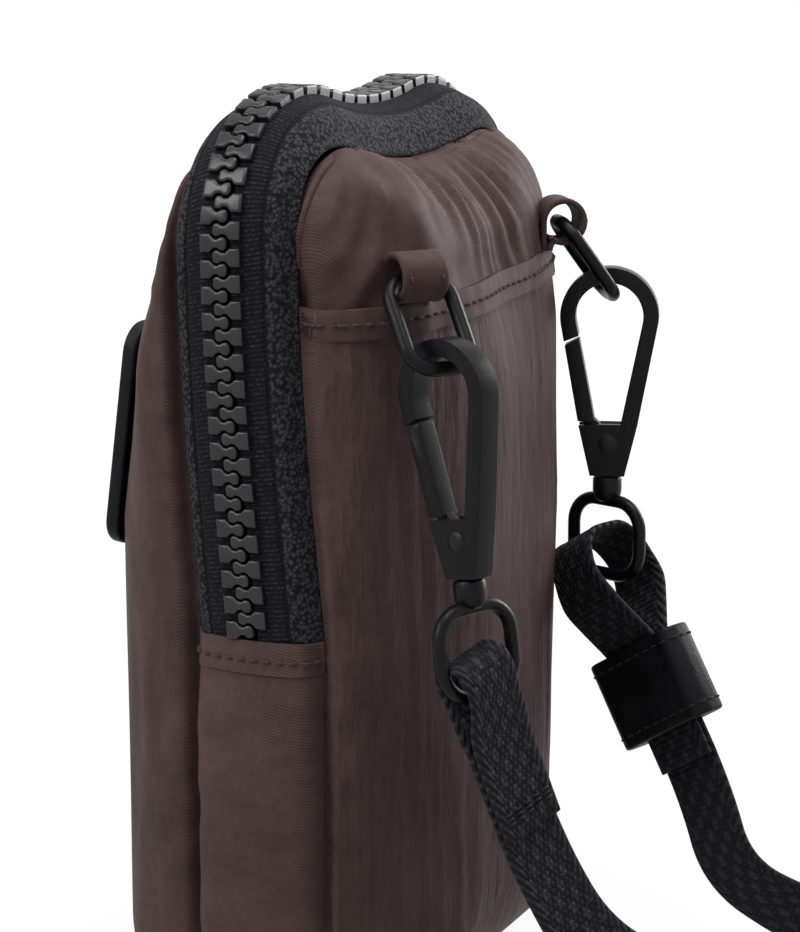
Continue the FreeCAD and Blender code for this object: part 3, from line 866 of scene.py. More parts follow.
@dataclass
class Seam:
    """A row of sewn stitches."""

    stitch: float = 2.0
    gap: float = 0.7
    radius: float = 0.36
    lift: float = 0.2

    def sew(self, name: str, rows: Sequence[tuple[np.ndarray, Outward]]) -> bpy.types.Object:
        """Make the stitches of several lines as one piece.

        Args:
            name: The object's name.
            rows: Lines in millimetres, each with a function giving the outward direction at a place.

        Returns:
            The new object.
        """
        points, faces, cloth = [], [], []
        rings = ((-0.5, 0.25, -0.9), (-0.36, 0.85, 0.0), (-0.12, 1.0, 0.55), (0.12, 1.0, 0.55),
                 (0.36, 0.85, 0.0), (0.5, 0.25, -0.9))
        sides = 7
        for line, outward in rows:
            places, along = spaced_along(line, self.stitch + self.gap)
            for place, ahead in zip(places, along):
                out = outward(place)
                side = np.cross(out, ahead)
                side /= np.linalg.norm(side)
                start = len(points)
                for far, fat, high in rings:
                    rise = self.lift + high * self.radius * 0.6
                    middle = place + ahead * (far * self.stitch) + out * rise
                    for n in range(sides):
                        a = 2 * math.pi * n / sides
                        points.append(middle + self.radius * fat * (math.cos(a) * side + math.sin(a) * out))
                        cloth.append((far * self.stitch, n * 1000.0 / sides))
                faces += [tuple(start + i for i in f) for f in grid_faces(len(rings), sides, True)]
                faces.append(tuple(start + n for n in range(sides))[::-1])
                faces.append(tuple(start + (len(rings) - 1) * sides + n for n in range(sides)))
        return make_mesh(name, points, faces, cloth)


def eased(table: Sequence[Sequence[float]], at: float) -> list[float]:
    """A smooth row between the rows of a table.

    Args:
        table: Rows of numbers.
        at: Row number, with a fraction.

    Returns:
        The row there.
    """
    n = min(int(at), len(table) - 2)
    t = at - n
    rows = [np.array(table[min(max(k, 0), len(table) - 1)]) for k in (n - 1, n, n + 1, n + 2)]
    a, b, c, d = rows
    return list(b + 0.5 * t * (c - a + t * (2 * a - 5 * b + 4 * c - d + t * (3 * (b - c) + d - a))))


@dataclass
class Shape:
    """Sizes of the pouch that its panels, band and zip share, in millimetres."""

    half_width: float = 50.0
    seam_height: float = 182.0
    corner_radius: float = 26.0
    foot_radius: float = 9.0
    seam_y: float = 14.0
    band_crown: float = 2.2
    band_rise: float = 7.0
    top_dip: float = 14.0
    back_bulge: float = 20.5
    front_bulge: float = 24.5
    fabric: float = 1.4
    layer_gap: float = 0.3
    zip_end_z: float = 83.0
    zip_hem: float = 6.5
    front_bend_z: float = 102.0
    front_slope: float = 0.136
    seam_dip: float = 3.3
    tuck: float = 3.5
    pocket_hem_z: float = 151.5
    pocket_hem: float = 6.0
    hem_rise: float = 4.0
    loop_x: float = 34.0
    chain_half: float = 4.5
    tape: float = 1.0
    seam_reach: float = 1.8
    crown_share: float = 0.95
    crown_power: float = 2.4
    sway_rise: float = 80.0
    sway_side: float = 42.0
    sway_front: float = 34.0
    sway_back: float = 25.0
    sway_depths: tuple[float, ...] = (0.0, 4.4, 5.2, 5.4, 0.0)

    def half_outline(self, half: float, bottom: float, top: float, corner: float, foot: float) -> list[Point]:
        """The half of an outline on the +X side, from its bottom middle to its top middle.

        Args:
            half: Half its width.
            bottom: Height of its bottom.
            top: Height of its top corners' crests.
            corner: Radius of its top corners.
            foot: Radius of its bottom corners.

        Returns:
            Points (x, z).
        """
        dip = math.radians(self.top_dip)
        reach, high = half - corner, top - corner
        sag = reach / math.sin(dip) - corner
        sag_z = high + (corner + sag) * math.cos(dip)
        line = [(x, bottom) for x in np.linspace(0, half - foot, 9)[:-1]]
        line += [(half - foot + foot * math.sin(a), bottom + foot - foot * math.cos(a))
                 for a in np.linspace(0, math.pi / 2, 7)[:-1]]
        line += [(half, z) for z in np.linspace(bottom + foot, high, 46)[:-1]]
        line += [(reach + corner * math.cos(a), high + corner * math.sin(a))
                 for a in np.linspace(0, math.pi / 2 + dip, 27)[:-1]]
        line += [(sag * math.sin(a), sag_z - sag * math.cos(a)) for a in np.linspace(dip, 0, 24)]
        return line

    def ring(self, half: float, bottom: float, top: float, corner: float, foot: float,
             y: float) -> list[Point]:
        """A whole outline at one depth, from its bottom middle round by the left leg."""
        line = self.half_outline(half, bottom, top, corner, foot)
        return [(x, y, z) for x, z in line] + [(-x, y, z) for x, z in line[-2:0:-1]]

    def hem_z(self, x: float) -> float:
        """Height of the pocket's hem."""
        return self.pocket_hem_z - x * self.hem_rise / (2 * self.loop_x)

    def dip(self, y: float) -> float:
        """How far the cloth sinks into a seam, from its distance to the seam's plane."""
        return self.seam_dip * math.exp(-((abs(y) - self.seam_y) / self.seam_reach) ** 2)

    def leaned(self, y: float, z: float) -> float:
        """The front's Y at a height, once its upper part leans back."""
        lean = 1 - max(0.0, z - self.front_bend_z) * self.front_slope / self.front_bulge
        return y if y > -self.seam_y else (y + self.seam_y) * lean - self.seam_y

    def swayed(self, x: float, y: float, z: float) -> float:
        """Y of a place once the stuffed band's near leg and top lean towards the front.

        Args:
            x: The place's X, in millimetres.
            y: Its Y before that.
            z: Its height.

        Returns:
            Its new Y.
        """
        rise = held((z - self.zip_end_z) / self.sway_rise)
        near = held((x + self.sway_side) / (2 * self.sway_side))
        depths = (-self.sway_front, -self.seam_y, 0.0, self.seam_y, self.sway_back)
        deep = float(np.interp(y, depths, self.sway_depths))
        return y - deep * math.sin(rise * math.pi / 2) * near

    def hem_normal(self) -> tuple[float, float, float]:
        """Upward normal of the plane that the pocket's hem lies in."""
        return (self.hem_rise / (2 * self.loop_x), 0.0, 1.0)

    def crown(self, across: float) -> float:
        """How far the band stands out, as a share, from -1 to 1 across it."""
        return self.crown_share * (1 - abs(across) ** self.crown_power)


SHAPE = Shape()
BACK_SHARES = [(0.0, 1.0, 1.0, 0.0, 0.74), (0.15, 0.97, 0.976, 0.001, 0.74), (0.36, 0.90, 0.946, 0.006, 0.74),
               (0.58, 0.78, 0.905, 0.016, 0.72), (0.79, 0.62, 0.845, 0.040, 0.62),
               (0.92, 0.47, 0.785, 0.075, 0.46), (1.0, 0.32, 0.725, 0.12, 0.30)]
FRONT_SHARES = [(0.0, 1.0, 1.0, 0.0, 1.0), (0.22, 0.99, 0.962, 0.001, 1.0), (0.45, 0.955, 0.905, 0.005, 1.0),
                (0.68, 0.89, 0.862, 0.016, 0.95), (0.86, 0.80, 0.828, 0.040, 0.80),
                (0.96, 0.72, 0.808, 0.07, 0.64), (1.0, 0.66, 0.795, 0.10, 0.50)]


def outward_of(piece: bpy.types.Object, centre: Point) -> Outward:
    """Find the outward direction of a piece's surface.

    Args:
        piece: The object.
        centre: A point inside, in millimetres.

    Returns:
        A function giving the direction near a place in millimetres.
    """
    shape = bmesh.new()
    shape.from_mesh(piece.data)
    tree = BVHTree.FromBMesh(shape)
    shape.free()

    def outward(place: np.ndarray) -> np.ndarray:
        """The nearest face's normal, turned away from the centre."""
        normal = np.array(tree.find_nearest(Vector(place) * MM)[1])
        return normal if normal @ (place - np.array(centre)) > 0 else -normal

    return outward


def section(piece: bpy.types.Object, point: Point, normal: Point) -> np.ndarray:
    """Find where a plane cuts a piece.

    Args:
        piece: The object.
        point: A point of the plane, in millimetres.
        normal: The plane's normal.

    Returns:
        Unsorted points, in millimetres.
    """
    shape = bmesh.new()
    shape.from_mesh(piece.data)
    cut = bisect(shape, point, normal, False)
    found = np.array([v.co for v in cut if isinstance(v, bmesh.types.BMVert)]) / MM
    shape.free()
    return found


def push(piece: bpy.types.Object, amount: Height) -> None:
    """Move a piece's points along their normals.

    Args:
        piece: The object.
        amount: Gives the distance in millimetres from a place in millimetres.
    """
    mesh = piece.data
    moves = [v.normal * amount(v.co / MM) * MM for v in mesh.vertices]
    for vertex, move in zip(mesh.vertices, moves):
        vertex.co += move
    mesh.update()


def sway(piece: bpy.types.Object) -> None:
    """Lean a piece of the band or of a panel with the band."""
    for vertex in piece.data.vertices:
        vertex.co.y = SHAPE.swayed(*(vertex.co / MM)) * MM
    piece.data.update()


@dataclass
class Shell:
    """The twill panels, gusset and lining."""

    palette: Palette
    steps: int = 48
    thread: Seam = field(default_factory=Seam)
    foot_flat: float = 6.0
    foot_fade: float = 16.0
    pucker_reach: float = 9.0
    pucker_high: float = 1.1
    seam_fade: float = 6.0
    swell_high: float = 1.5
    swell_reach: float = 8.0
    fan_centre: float = 232.0
    fan_count: float = 26.0
    fan_foot: float = 124.0
    fan_fade: tuple[float, float] = (30.0, 5.0)
    ridge_at: tuple[float, float] = (22.0, 150.0)
    ridge_slant: tuple[float, float] = (0.84, 0.54)
    ridge_half: float = 4.5
    patch_y: float = 37.5
    patch_fade: float = 5.0
    hem_cloth: float = 2.0
    hem_edge: float = 0.7
    hem_lift: float = 0.75
    pocket_row: float = 2.9
    zip_end_row: float = 3.8
    zip_end_lift: float = 0.55
    lining_ease: float = 3.8
    gusset_high: float = 3.0
    gusset_legs: tuple[float, float] = (8.0, 82.0)
    gusset_dents: tuple[Point, ...] = ((-9.0, 58.0, 0.8), (-11.0, 47.0, 1.3), (8.0, 40.0, 1.1),
                                       (-8.0, 31.0, 0.8))

    def panel(self, name: str, row: Row, inset: float) -> bpy.types.Object:
        """A smooth bulged panel.

        Args:
            name: The object's name.
            row: Whether it is a front or a back.
            inset: How far it is drawn in from the outermost surface.

        Returns:
            The new object, one layer thick.
        """
        s, side = SHAPE, row.sign
        shares, depth = (FRONT_SHARES, s.front_bulge) if row is Row.FRONT else (BACK_SHARES, s.back_bulge)
        points: list[Point] = []
        cloth: list[Point] = []
        for k in range(-1, self.steps + 1):
            deep, wide, top, bottom, corner = eased(shares, max(k, 0) * (len(shares) - 1) / self.steps)
            far = s.seam_y - s.tuck if k < 0 else s.seam_y + (depth - inset) * deep
            drawn = inset + (s.seam_dip + 1.0 if k < 0 else s.dip(far))
            radius = (s.corner_radius - drawn) * corner
            ring = s.ring(s.half_width * wide - drawn, s.seam_height * bottom + drawn,
                          s.seam_height * top - drawn, radius, radius * 0.35, side * far)
            points += ring
            slack = depth * (1 - deep) * 0.8
            middle = s.seam_height / 2
            cloth += [(x + math.copysign(slack, x) * abs(x) / s.half_width,
                       z + slack * (z - middle) / middle) for x, _, z in ring]
        size = len(ring)
        last = ring
        mid_z = sum(p[2] for p in last) / size
        for share in (0.8, 0.6, 0.4, 0.2, 0.0):
            lift = side * 0.9 * (1 - share ** 2)
            ring = [(x * share, y + lift, mid_z + (z - mid_z) * share) for x, y, z in last]
            points += ring
            cloth += [(x, z) for x, _, z in ring]
        rows = len(points) // size
        points = [(x, s.leaned(y, z), z) for x, y, z in points]
        piece = make_mesh(name, points, grid_faces(rows, size, True), cloth)
        with editing(piece) as shape:
            bmesh.ops.remove_doubles(shape, verts=shape.verts[:], dist=1e-7)
            bmesh.ops.recalc_face_normals(shape, faces=shape.faces[:])
            if sum(f.normal.y for f in shape.faces) * side < 0:
                bmesh.ops.reverse_faces(shape, faces=shape.faces[:])
        return piece

    def stuffed(self, name: str, row: Row, inset: float, folds: Height) -> bpy.types.Object:
        """A panel with its folds, leaning with the band.

        Args:
            name: The object's name.
            row: Whether it is a front or a back.
            inset: How far it is drawn in.
            folds: Gives the height of its folds at a place.

        Returns:
            The new object, one layer thick.
        """
        piece = self.panel(name, row, inset)
        push(piece, folds)
        sway(piece)
        return piece

    def above_foot(self, place: Vector) -> float:
        """0 at the flat bottom, rising to 1 a little above it."""
        return held((place.z - self.foot_flat) / self.foot_fade)

    def off_seam(self, place: Vector) -> float:
        """0 at a panel's seam, rising to 1 a little way from it."""
        return held((abs(place.y) - SHAPE.seam_y) / self.seam_fade)

    def pucker(self, place: Vector, side: int) -> float:
        """Small gathers of the cloth beside its seam.

        Args:
            place: A place in millimetres.
            side: 1 for the back, -1 for the front.

        Returns:
            Their height there.
        """
        near = held(1 - (abs(place.y) - SHAPE.seam_y) / self.pucker_reach)
        along = Vector((place.x * 0.16, place.z * 0.16, side * 3.0))
        return self.pucker_high * near * (1 - near) * 4 * noise.noise(along * 1.3) * self.above_foot(place)

    def above_hem(self, place: Vector) -> float:
        """How far the back swells out over the pocket's hem."""
        high = held((place.z - SHAPE.hem_z(place.x) - 1.0) / self.swell_reach)
        return self.swell_high * high * high * (3 - 2 * high) if place.y > SHAPE.seam_y - 0.5 else 0.0

    def top_folds(self, place: Vector) -> float:
        """Soft folds fanning down from the top seam and slack cloth above the pocket.

        Args:
            place: A place in millimetres.

        Returns:
            Their height there.
        """
        fan = math.atan2(place.x, self.fan_centre - place.z) * self.fan_count
        rise, clear = self.fan_fade
        fade = held((place.z - self.fan_foot) / rise) * held((abs(place.y) - SHAPE.seam_y - 1.0) / clear)
        broad = noise.noise(Vector((fan * 0.34, place.z * 0.016, 1.7)))
        fine = noise.noise(Vector((fan * 0.8, place.z * 0.022, 7.1)))
        (x, z), (level, steep) = self.ridge_at, self.ridge_slant
        tent = abs((place.x - x) * level - (place.z - z) * steep)
        ridge = 1.5 * math.exp(-(tent / self.ridge_half) ** 2)
        slack = 0.5 * noise.noise(place * 0.035)
        return fade * (0.6 + ridge + 1.6 * broad + 1.0 * (1 - 2 * abs(fine))) + slack

    def pocket_folds(self, place: Vector) -> float:
        """Upright crinkles and a gentle slackness.

        Args:
            place: A place in millimetres.

        Returns:
            Their height there.
        """
        crinkle = 1 - 2 * abs(noise.noise(Vector((place.x * 0.22, place.z * 0.018, 4.2))))
        wave = noise.noise(Vector((place.x * 0.055, place.z * 0.025, 9.3)))
        return self.off_seam(place) * self.above_foot(place) * (0.4 * crinkle + 1.5 * wave)

    def front_folds(self, place: Vector) -> float:
        """Long slack folds down the stuffed front, flat behind the patch.

        Args:
            place: A place in millimetres.

        Returns:
            Their height there.
        """
        flat = held((self.patch_y - abs(place.y)) / self.patch_fade)
        ridge = noise.noise(Vector((place.x * 0.05, place.y * 0.07, place.z * 0.016)))
        fine = noise.noise(Vector((place.x * 0.12, place.y * 0.16, place.z * 0.03 + 5.0)))
        return self.off_seam(place) * flat * self.above_foot(place) * (1.3 * ridge + 0.6 * fine)

    def folded(self, hem: bpy.types.Object) -> bpy.types.Object:
        """Give a hem its doubled thickness and soft edges.

        Args:
            hem: The hem, one layer thick.

        Returns:
            The same object.
        """
        modify(hem, "SOLIDIFY", thickness=self.hem_cloth * MM, offset=-1.0)
        modify(hem, "BEVEL", width=self.hem_edge * MM, segments=3, limit_method="ANGLE", angle_limit=0.8)
        return apply_all(hem)

    def build_panels(self) -> None:
        """Front, back and slip pocket, with the pocket's folded hem."""
        s, p = SHAPE, self.palette
        front = self.stuffed("front_cloth", Row.FRONT, 0.0,
                             lambda v: self.pucker(v, -1) + self.front_folds(v))
        dress(thicken(front, s.fabric), p.shell, "pouch", ["front_panel"])
        back = self.stuffed("back_cloth", Row.BACK, s.fabric + s.layer_gap,
                            lambda v: 0.3 * self.pucker(v, 1) + self.top_folds(v) + self.above_hem(v))
        dress(thicken(back, s.fabric), p.shell, "pouch", ["back_panel"])
        pocket = self.stuffed("pocket_cloth", Row.BACK, 0.0,
                              lambda v: self.pucker(v, 1) + self.pocket_folds(v))
        hem = pocket.copy()
        hem.data = pocket.data.copy()
        hem.name = "pocket_hem"
        bpy.context.scene.collection.objects.link(hem)
        up = Vector(s.hem_normal())
        slice_off(pocket, (0, 0, s.pocket_hem_z - 0.6), up)
        slice_off(hem, (0, 0, s.pocket_hem_z), up)
        slice_off(hem, (0, 0, s.pocket_hem_z - s.pocket_hem), -up)
        push(hem, lambda v: self.hem_lift * held((v.y - s.seam_y + 1.0) / 7.0))
        row = section(hem, (0, 0, s.pocket_hem_z - self.pocket_row), up)
        row = row[np.argsort(row[:, 0])]
        outward = outward_of(hem, (0, 0, 140))
        dress(self.folded(hem), p.shell, "pouch")
        dress(thicken(pocket, s.fabric), p.pocket, "pouch", ["pocket_panel"])
        dress(self.thread.sew("pocket_stitches", [(row, outward)]), p.brown_thread)

    def band(self, name: str, inset: float, lanes: Sequence[float]) -> bpy.types.Object:
        """The strip that runs round the pouch, one layer thick.

        Args:
            name: The object's name.
            inset: How far it is drawn in.
            lanes: Places across it, from -1 to 1.

        Returns:
            The new object, with cloth coordinates along it and across it.
        """
        s = SHAPE
        points, cloth = [], []
        crest = s.half_outline(s.half_width, 0.0, s.seam_height, s.corner_radius, s.foot_radius)
        far = lengths_along(np.array(crest))
        for across in lanes:
            y, crown = across * s.seam_y, s.crown(across)
            drawn = inset + s.dip(y)
            corner = s.corner_radius * (1 - 0.26 * max(0.0, across) ** 2) + s.band_crown * crown - drawn
            line = s.half_outline(s.half_width + s.band_crown * crown - drawn, drawn,
                                  s.seam_height + s.band_rise * crown - drawn, corner, s.foot_radius - drawn)
            points += [(x, y, z) for x, z in line] + [(-x, y, z) for x, z in line[-2::-1]]
            cloth += [(u, y) for u in [*far, *(2 * far[-1] - far[-2::-1])]]
        columns = len(points) // len(lanes)
        piece = make_mesh(name, points, grid_faces(len(lanes), columns), cloth)
        with editing(piece) as shape:
            if sum(f.normal.x * f.calc_center_median().x for f in shape.faces) < 0:
                bmesh.ops.reverse_faces(shape, faces=shape.faces[:])
        return piece

    def gusset_swell(self, place: Vector) -> float:
        """The stuffing's push on the gusset's legs, with a little slackness.

        Args:
            place: A place in millimetres.

        Returns:
            How far the cloth swells out there.
        """
        low, high = self.gusset_legs
        share = max(0.0, 1 - (place.y / SHAPE.seam_y) ** 2)
        rise = held((place.z - low) / 14.0) * held((high - place.z) / 16.0)
        dents = sum(deep * math.exp(-((place.y - y) / 5.0) ** 2 - ((place.z - z) / 2.4) ** 2)
                    for y, z, deep in self.gusset_dents)
        return share ** 0.7 * rise * (self.gusset_high + 0.9 * noise.noise(place * 0.05) - dents)

    def build_gusset(self) -> None:
        """The band under the zip, with the folded hem at each zip end."""
        s, p = SHAPE, self.palette
        lanes = [math.sin(a) for a in np.linspace(-math.pi / 2, math.pi / 2, 33)]
        gusset = self.band("gusset_cloth", 0.0, lanes)
        push(gusset, self.gusset_swell)
        slice_off(gusset, (0, 0, s.zip_end_z - 1.0), UP)
        hem = self.band("zip_end_hem", -self.zip_end_lift, lanes)
        push(hem, self.gusset_swell)
        slice_off(hem, (0, 0, s.zip_end_z), UP)
        slice_off(hem, (0, 0, s.zip_end_z - s.zip_hem), -UP)
        row = section(hem, (0, 0, s.zip_end_z - self.zip_end_row), UP)
        outward = outward_of(hem, (0, 0, 80))
        rows = []
        for side in (-1, 1):
            leg = row[row[:, 0] * side > 0]
            rows.append((leg[np.argsort(leg[:, 1])], outward))
        dress(self.folded(hem), p.gusset)
        dress(thicken(gusset, s.fabric), p.gusset, "pouch", ["gusset"])
        dress(self.thread.sew("zip_end_stitches", rows), p.brown_thread)

    def build_lining(self) -> None:
        """The thin lining bag, two leaves that stop short of the zip."""
        s = SHAPE
        inset = 2 * (s.fabric + s.layer_gap) + self.lining_ease
        for row, nodes in ((Row.FRONT, ["lining"]), (Row.BACK, [])):
            leaf = self.panel(f"lining_{row.value}", row, inset)
            push(leaf, lambda v: 0.25 * noise.noise(v * 0.08))
            dress(leaf, self.palette.lining, "pouch", nodes)


@dataclass
class Zip:
    """Tapes, moulded teeth, stops, slider and pull, in millimetres."""

    palette: Palette
    shell: Shell
    pitch: float = 5.08
    out: float = 1.9
    inward: float = 1.4
    half: float = 1.85
    slider_length: float = 17.0
    travel: float = 58.0
    travel_top: float = 161.0
    slider_half: float = 6.3
    plate: float = 1.4
    gap: float = 0.35
    foot: float = 1.6
    wedge: float = 5.0
    pull: tuple[float, float, float] = (9.0, 22.0, 1.6)
    pull_corners: tuple[float, float] = (3.0, 2.0)
    grip: tuple[float, float] = (1.6, 5.0)
    window: tuple[float, float, float] = (2.1, -2.0, -6.4)
    bail: tuple[float, float, float] = (4.5, 3.2, 3.0)
    stop: tuple[float, float] = (2.1, 4.0)
    knit_groove: tuple[float, float, float] = (8.8, 0.35, 0.28)
    tooth_side: tuple[Point, ...] = ((1.85, -4.5), (1.85, -2.3), (0.95, -1.35), (0.85, -0.6), (1.32, 0.25),
                                     (1.3, 1.05), (0.8, 1.6))
    tape_lanes: tuple[float, ...] = (1.9, 2.5, 3.2, 4.5, 5.2, 6.2, 7.4, 8.4, 8.8, 9.2, 10.2, 11.0, 11.7, 12.3,
                                     12.9, 13.5, 14.0)

    def course(self) -> tuple[float, float, float, float, float, float]:
        """Work out the chain's middle line.

        Returns:
            Its half width, its corners' radius, their centres' X and Z, its sag's radius and angle.
        """
        k = SHAPE
        middle, dip = k.tape / 2, math.radians(k.top_dip)
        half, top = k.half_width + k.band_crown - middle, k.seam_height + k.band_rise - middle
        corner = k.corner_radius + k.band_crown - middle
        reach, high = half - corner, top - corner
        return half, corner, reach, high, reach / math.sin(dip) - corner, dip

    def place(self, s: float) -> tuple[np.ndarray, np.ndarray]:
        """A point of the chain's middle and the outward direction there.

        Args:
            s: Distance along the chain from its end on the left leg.

        Returns:
            The point and the direction.
        """
        half, corner, reach, high, sag, dip = self.course()
        low = SHAPE.zip_end_z
        leg, turn = high - low, corner * (math.pi / 2 + dip)
        total = self.length()
        if s > total / 2:
            point, normal = self.place(total - s)
            return point * (-1, 1, 1), normal * (-1, 1, 1)
        if s < leg:
            return np.array([half, 0, low + s]), np.array([1.0, 0, 0])
        if s < leg + turn:
            angle = (s - leg) / corner
            normal = np.array([math.cos(angle), 0, math.sin(angle)])
            return np.array([reach, 0, high]) + normal * corner, normal
        angle = dip - (s - leg - turn) / sag
        normal = np.array([-math.sin(angle), 0, math.cos(angle)])
        return np.array([0, 0, high + (corner + sag) * math.cos(dip)]) - normal * sag, normal

    def length(self) -> float:
        """Length of the whole chain."""
        _, corner, _, high, sag, dip = self.course()
        return 2 * (high - SHAPE.zip_end_z) + 2 * corner * (math.pi / 2 + dip) + 2 * dip * sag

    def tooth(self, row: Row) -> bmesh.types.BMesh:
        """Make one rounded tooth.

        Args:
            row: The row that it belongs to.

        Returns:
            Its open mesh, in its own axes: X along the chain, Y across it, Z outwards.
        """
        side = list(self.tooth_side)
        outline = [(a, -row.sign * b) for a, b in side + [(-a, b) for a, b in side[::-1]]]
        shape = bmesh.new()
        face = shape.faces.new([shape.verts.new((a, b, -self.inward)) for a, b in outline])
        raised = bmesh.ops.extrude_face_region(shape, geom=[face])
        tops = [v for v in raised["geom"] if isinstance(v, bmesh.types.BMVert)]
        bmesh.ops.translate(shape, vec=(0, 0, self.inward + self.out - 0.3), verts=tops)
        bmesh.ops.recalc_face_normals(shape, faces=shape.faces[:])
        rims = [e for e in shape.edges if e.verts[0] in tops and e.verts[1] in tops]
        bmesh.ops.bevel(shape, geom=rims, offset=0.62, segments=3, profile=0.6, affect="EDGES",
                        clamp_overlap=True)
        return shape

    def teeth_at(self, name: str, row: Row, places: Sequence[float]) -> bpy.types.Object:
        """Make teeth of one row.

        Args:
            name: The object's name.
            row: Which row they belong to.
            places: Their distances along the chain.

        Returns:
            The new object.
        """
        model = self.tooth(row)
        corners = np.array([v.co for v in model.verts])
        rings = [[v.index for v in f.verts] for f in model.faces]
        model.free()
        points, faces = [], []
        for s in places:
            point, normal = self.place(s)
            along = np.cross((0, 1, 0), normal)
            start = len(points)
            points += [point + along * a + np.array([0, b, 0]) + normal * c for a, b, c in corners]
            faces += [[start + i for i in ring] for ring in rings]
        teeth = turn_outwards(make_mesh(name, points, faces))
        sway(teeth)
        teeth.data.set_sharp_from_angle(angle=math.radians(50))
        return teeth

    def build_rows(self) -> None:
        """Both rows of teeth, gathered by the slider where it travels, and both tapes."""
        k, p = SHAPE, self.palette
        slider_low = k.zip_end_z + self.foot
        last = self.length() - (slider_low + self.gap + self.wedge + self.half - k.zip_end_z)
        groove, narrow, deep = self.knit_groove
        gathered = last - self.travel - self.slider_length
        for row in Row:
            first = self.half + (self.pitch / 2 if row is Row.BACK else 0.0)
            places = np.arange(first, last + 0.001, self.pitch)
            still = self.teeth_at(f"{row.value}_teeth", row, places[places <= gathered])
            dress(still, p.teeth, "pouch", [f"zip_teeth_{row.value}"])
            moving = self.teeth_at(f"{row.value}_travel_teeth", row, places[places > gathered])
            dress(moving, p.teeth, "pouch", [f"zip_teeth_travel_{row.value}"])
            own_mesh(moving)
            lanes = [row.sign * y / k.seam_y for y in self.tape_lanes]
            tape = self.shell.band(f"{row.value}_tape", 0.0, lanes)
            slice_off(tape, (0, 0, k.zip_end_z - 1.0), -UP)
            push(tape, lambda v: -deep * math.exp(-((abs(v.y) - groove) / narrow) ** 2))
            sway(tape)
            dress(thicken(tape, k.tape), p.tape, "pouch", [f"zip_tape_{row.value}"])

    def on_leg(self, x: float, z: float) -> Matrix:
        """Axes of a plate on the right leg, at an X and a height: its own X lies along Y, its own Y is up."""
        return Matrix(((0, 0, 1, x), (1, 0, 0, 0), (0, 1, 0, z), (0, 0, 0, 1)))

    def build_slider(self) -> None:
        """The slider's plates, rails and post, with its bail."""
        k, p = SHAPE, self.palette
        low = k.zip_end_z + self.foot
        chain_x = k.half_width + k.band_crown - k.tape / 2
        outer, inner = chain_x + self.out + self.gap, chain_x - self.inward - self.gap
        h, tall = self.slider_half, self.slider_length
        wing = [(-h + 1.6, 0), (h - 1.6, 0), (h, 2.4), (h, tall - 5), (h - 2.2, tall - 0.8), (h - 4, tall),
                (4 - h, tall), (2.2 - h, tall - 0.8), (-h, tall - 5), (-h, 2.4)]
        pieces = []
        for name, x in (("slider_face", -outer - self.plate / 2), ("slider_back", -inner + self.plate / 2)):
            pieces.append(slab(name, wing, self.plate, self.on_leg(x, low), 0.5))
        for row in Row:
            y0, y1 = sorted((row.sign * (k.chain_half + self.gap), row.sign * h))
            rail = [(y0, 2.5), (y1, 2.5), (y1, tall - 2.5), (y0, tall - 2.5)]
            pieces.append(slab(f"slider_rail_{row.value}", rail, 1.5, self.on_leg(-outer + 0.7, low), 0.2))
        post = [(-1.6, 0), (1.6, 0), (0.6, self.wedge), (-0.6, self.wedge)]
        pieces.append(slab("slider_post", post, outer - inner, self.on_leg(-(outer + inner) / 2, low), 0.15))
        for n, piece in enumerate(pieces):
            dress(piece, p.metal, "zip_slider", ["slider_body"] if n == 0 else ())
        face, mid = outer + self.plate, low + tall / 2
        crest, hollow, wide = self.bail
        top, under = -face - crest, -face - hollow
        arch = [(top + 0.9, -3.5), (top, -2.4), (top, 2.4), (top + 0.9, 3.5), (-face, 3.5), (-face, 1.6),
                (under + 0.5, 1.6), (under, 1.2), (under, -1.2), (under + 0.5, -1.6), (-face, -1.6),
                (-face, -3.5)]
        sideways = Matrix(((1, 0, 0, 0), (0, 0, 1, 0), (0, 1, 0, mid), (0, 0, 0, 1)))
        bail = slab("slider_bridge", arch, wide, sideways, 0.45)
        dress(bail, p.metal, "zip_slider", ["slider_bail"])
        self.build_pull(-face - 1.6, mid + 1.0)
        self.build_stops(chain_x, low)

    def build_pull(self, x: float, top: float) -> None:
        """The hanging pull.

        Args:
            x: Where it hangs.
            top: Height of its top.
        """
        wide, long, thick = self.pull
        big, small = self.pull_corners
        rim = [(wide / 2 - big + big * math.cos(a), -long + big + big * math.sin(a))
               for a in np.linspace(-math.pi / 2, 0, 7)]
        rim += [(wide / 2 - small + small * math.cos(a), -small + small * math.sin(a))
                for a in np.linspace(0, math.pi / 2, 6)]
        rim += [(-a, b) for a, b in rim[::-1]]
        half, high, low = self.window
        window = [(-half, high), (half, high), (half, low), (-half, low)]
        radius, up = self.grip
        grip = [(radius * math.cos(a), -long + up + radius * math.sin(a))
                for a in np.linspace(0, 2 * math.pi, 20, endpoint=False)]
        tab = slab("pull", rim, thick, self.on_leg(x, top), 0.4, holes=[window, grip])
        dress(tab, self.palette.metal, "zip_pull", ["pull_tab"])

    def build_stops(self, chain_x: float, low: float) -> None:
        """The stop at the open end of each row.

        Args:
            chain_x: Distance of the chain's middle from the pouch's middle.
            low: Height of the slider's foot.
        """
        inner, tall = self.stop
        where = self.on_leg(-chain_x - 0.25, low + self.gap)
        for row in Row:
            y0, y1 = sorted((row.sign * inner, row.sign * SHAPE.chain_half))
            block = [(y0, 0), (y1, 0), (y1, tall), (y0, tall)]
            stop = slab(f"zip_stop_{row.value}", block, self.out + self.inward, where, 0.4)
            dress(stop, self.palette.teeth, "pouch", ["zip_stops"] if row is Row.FRONT else ())


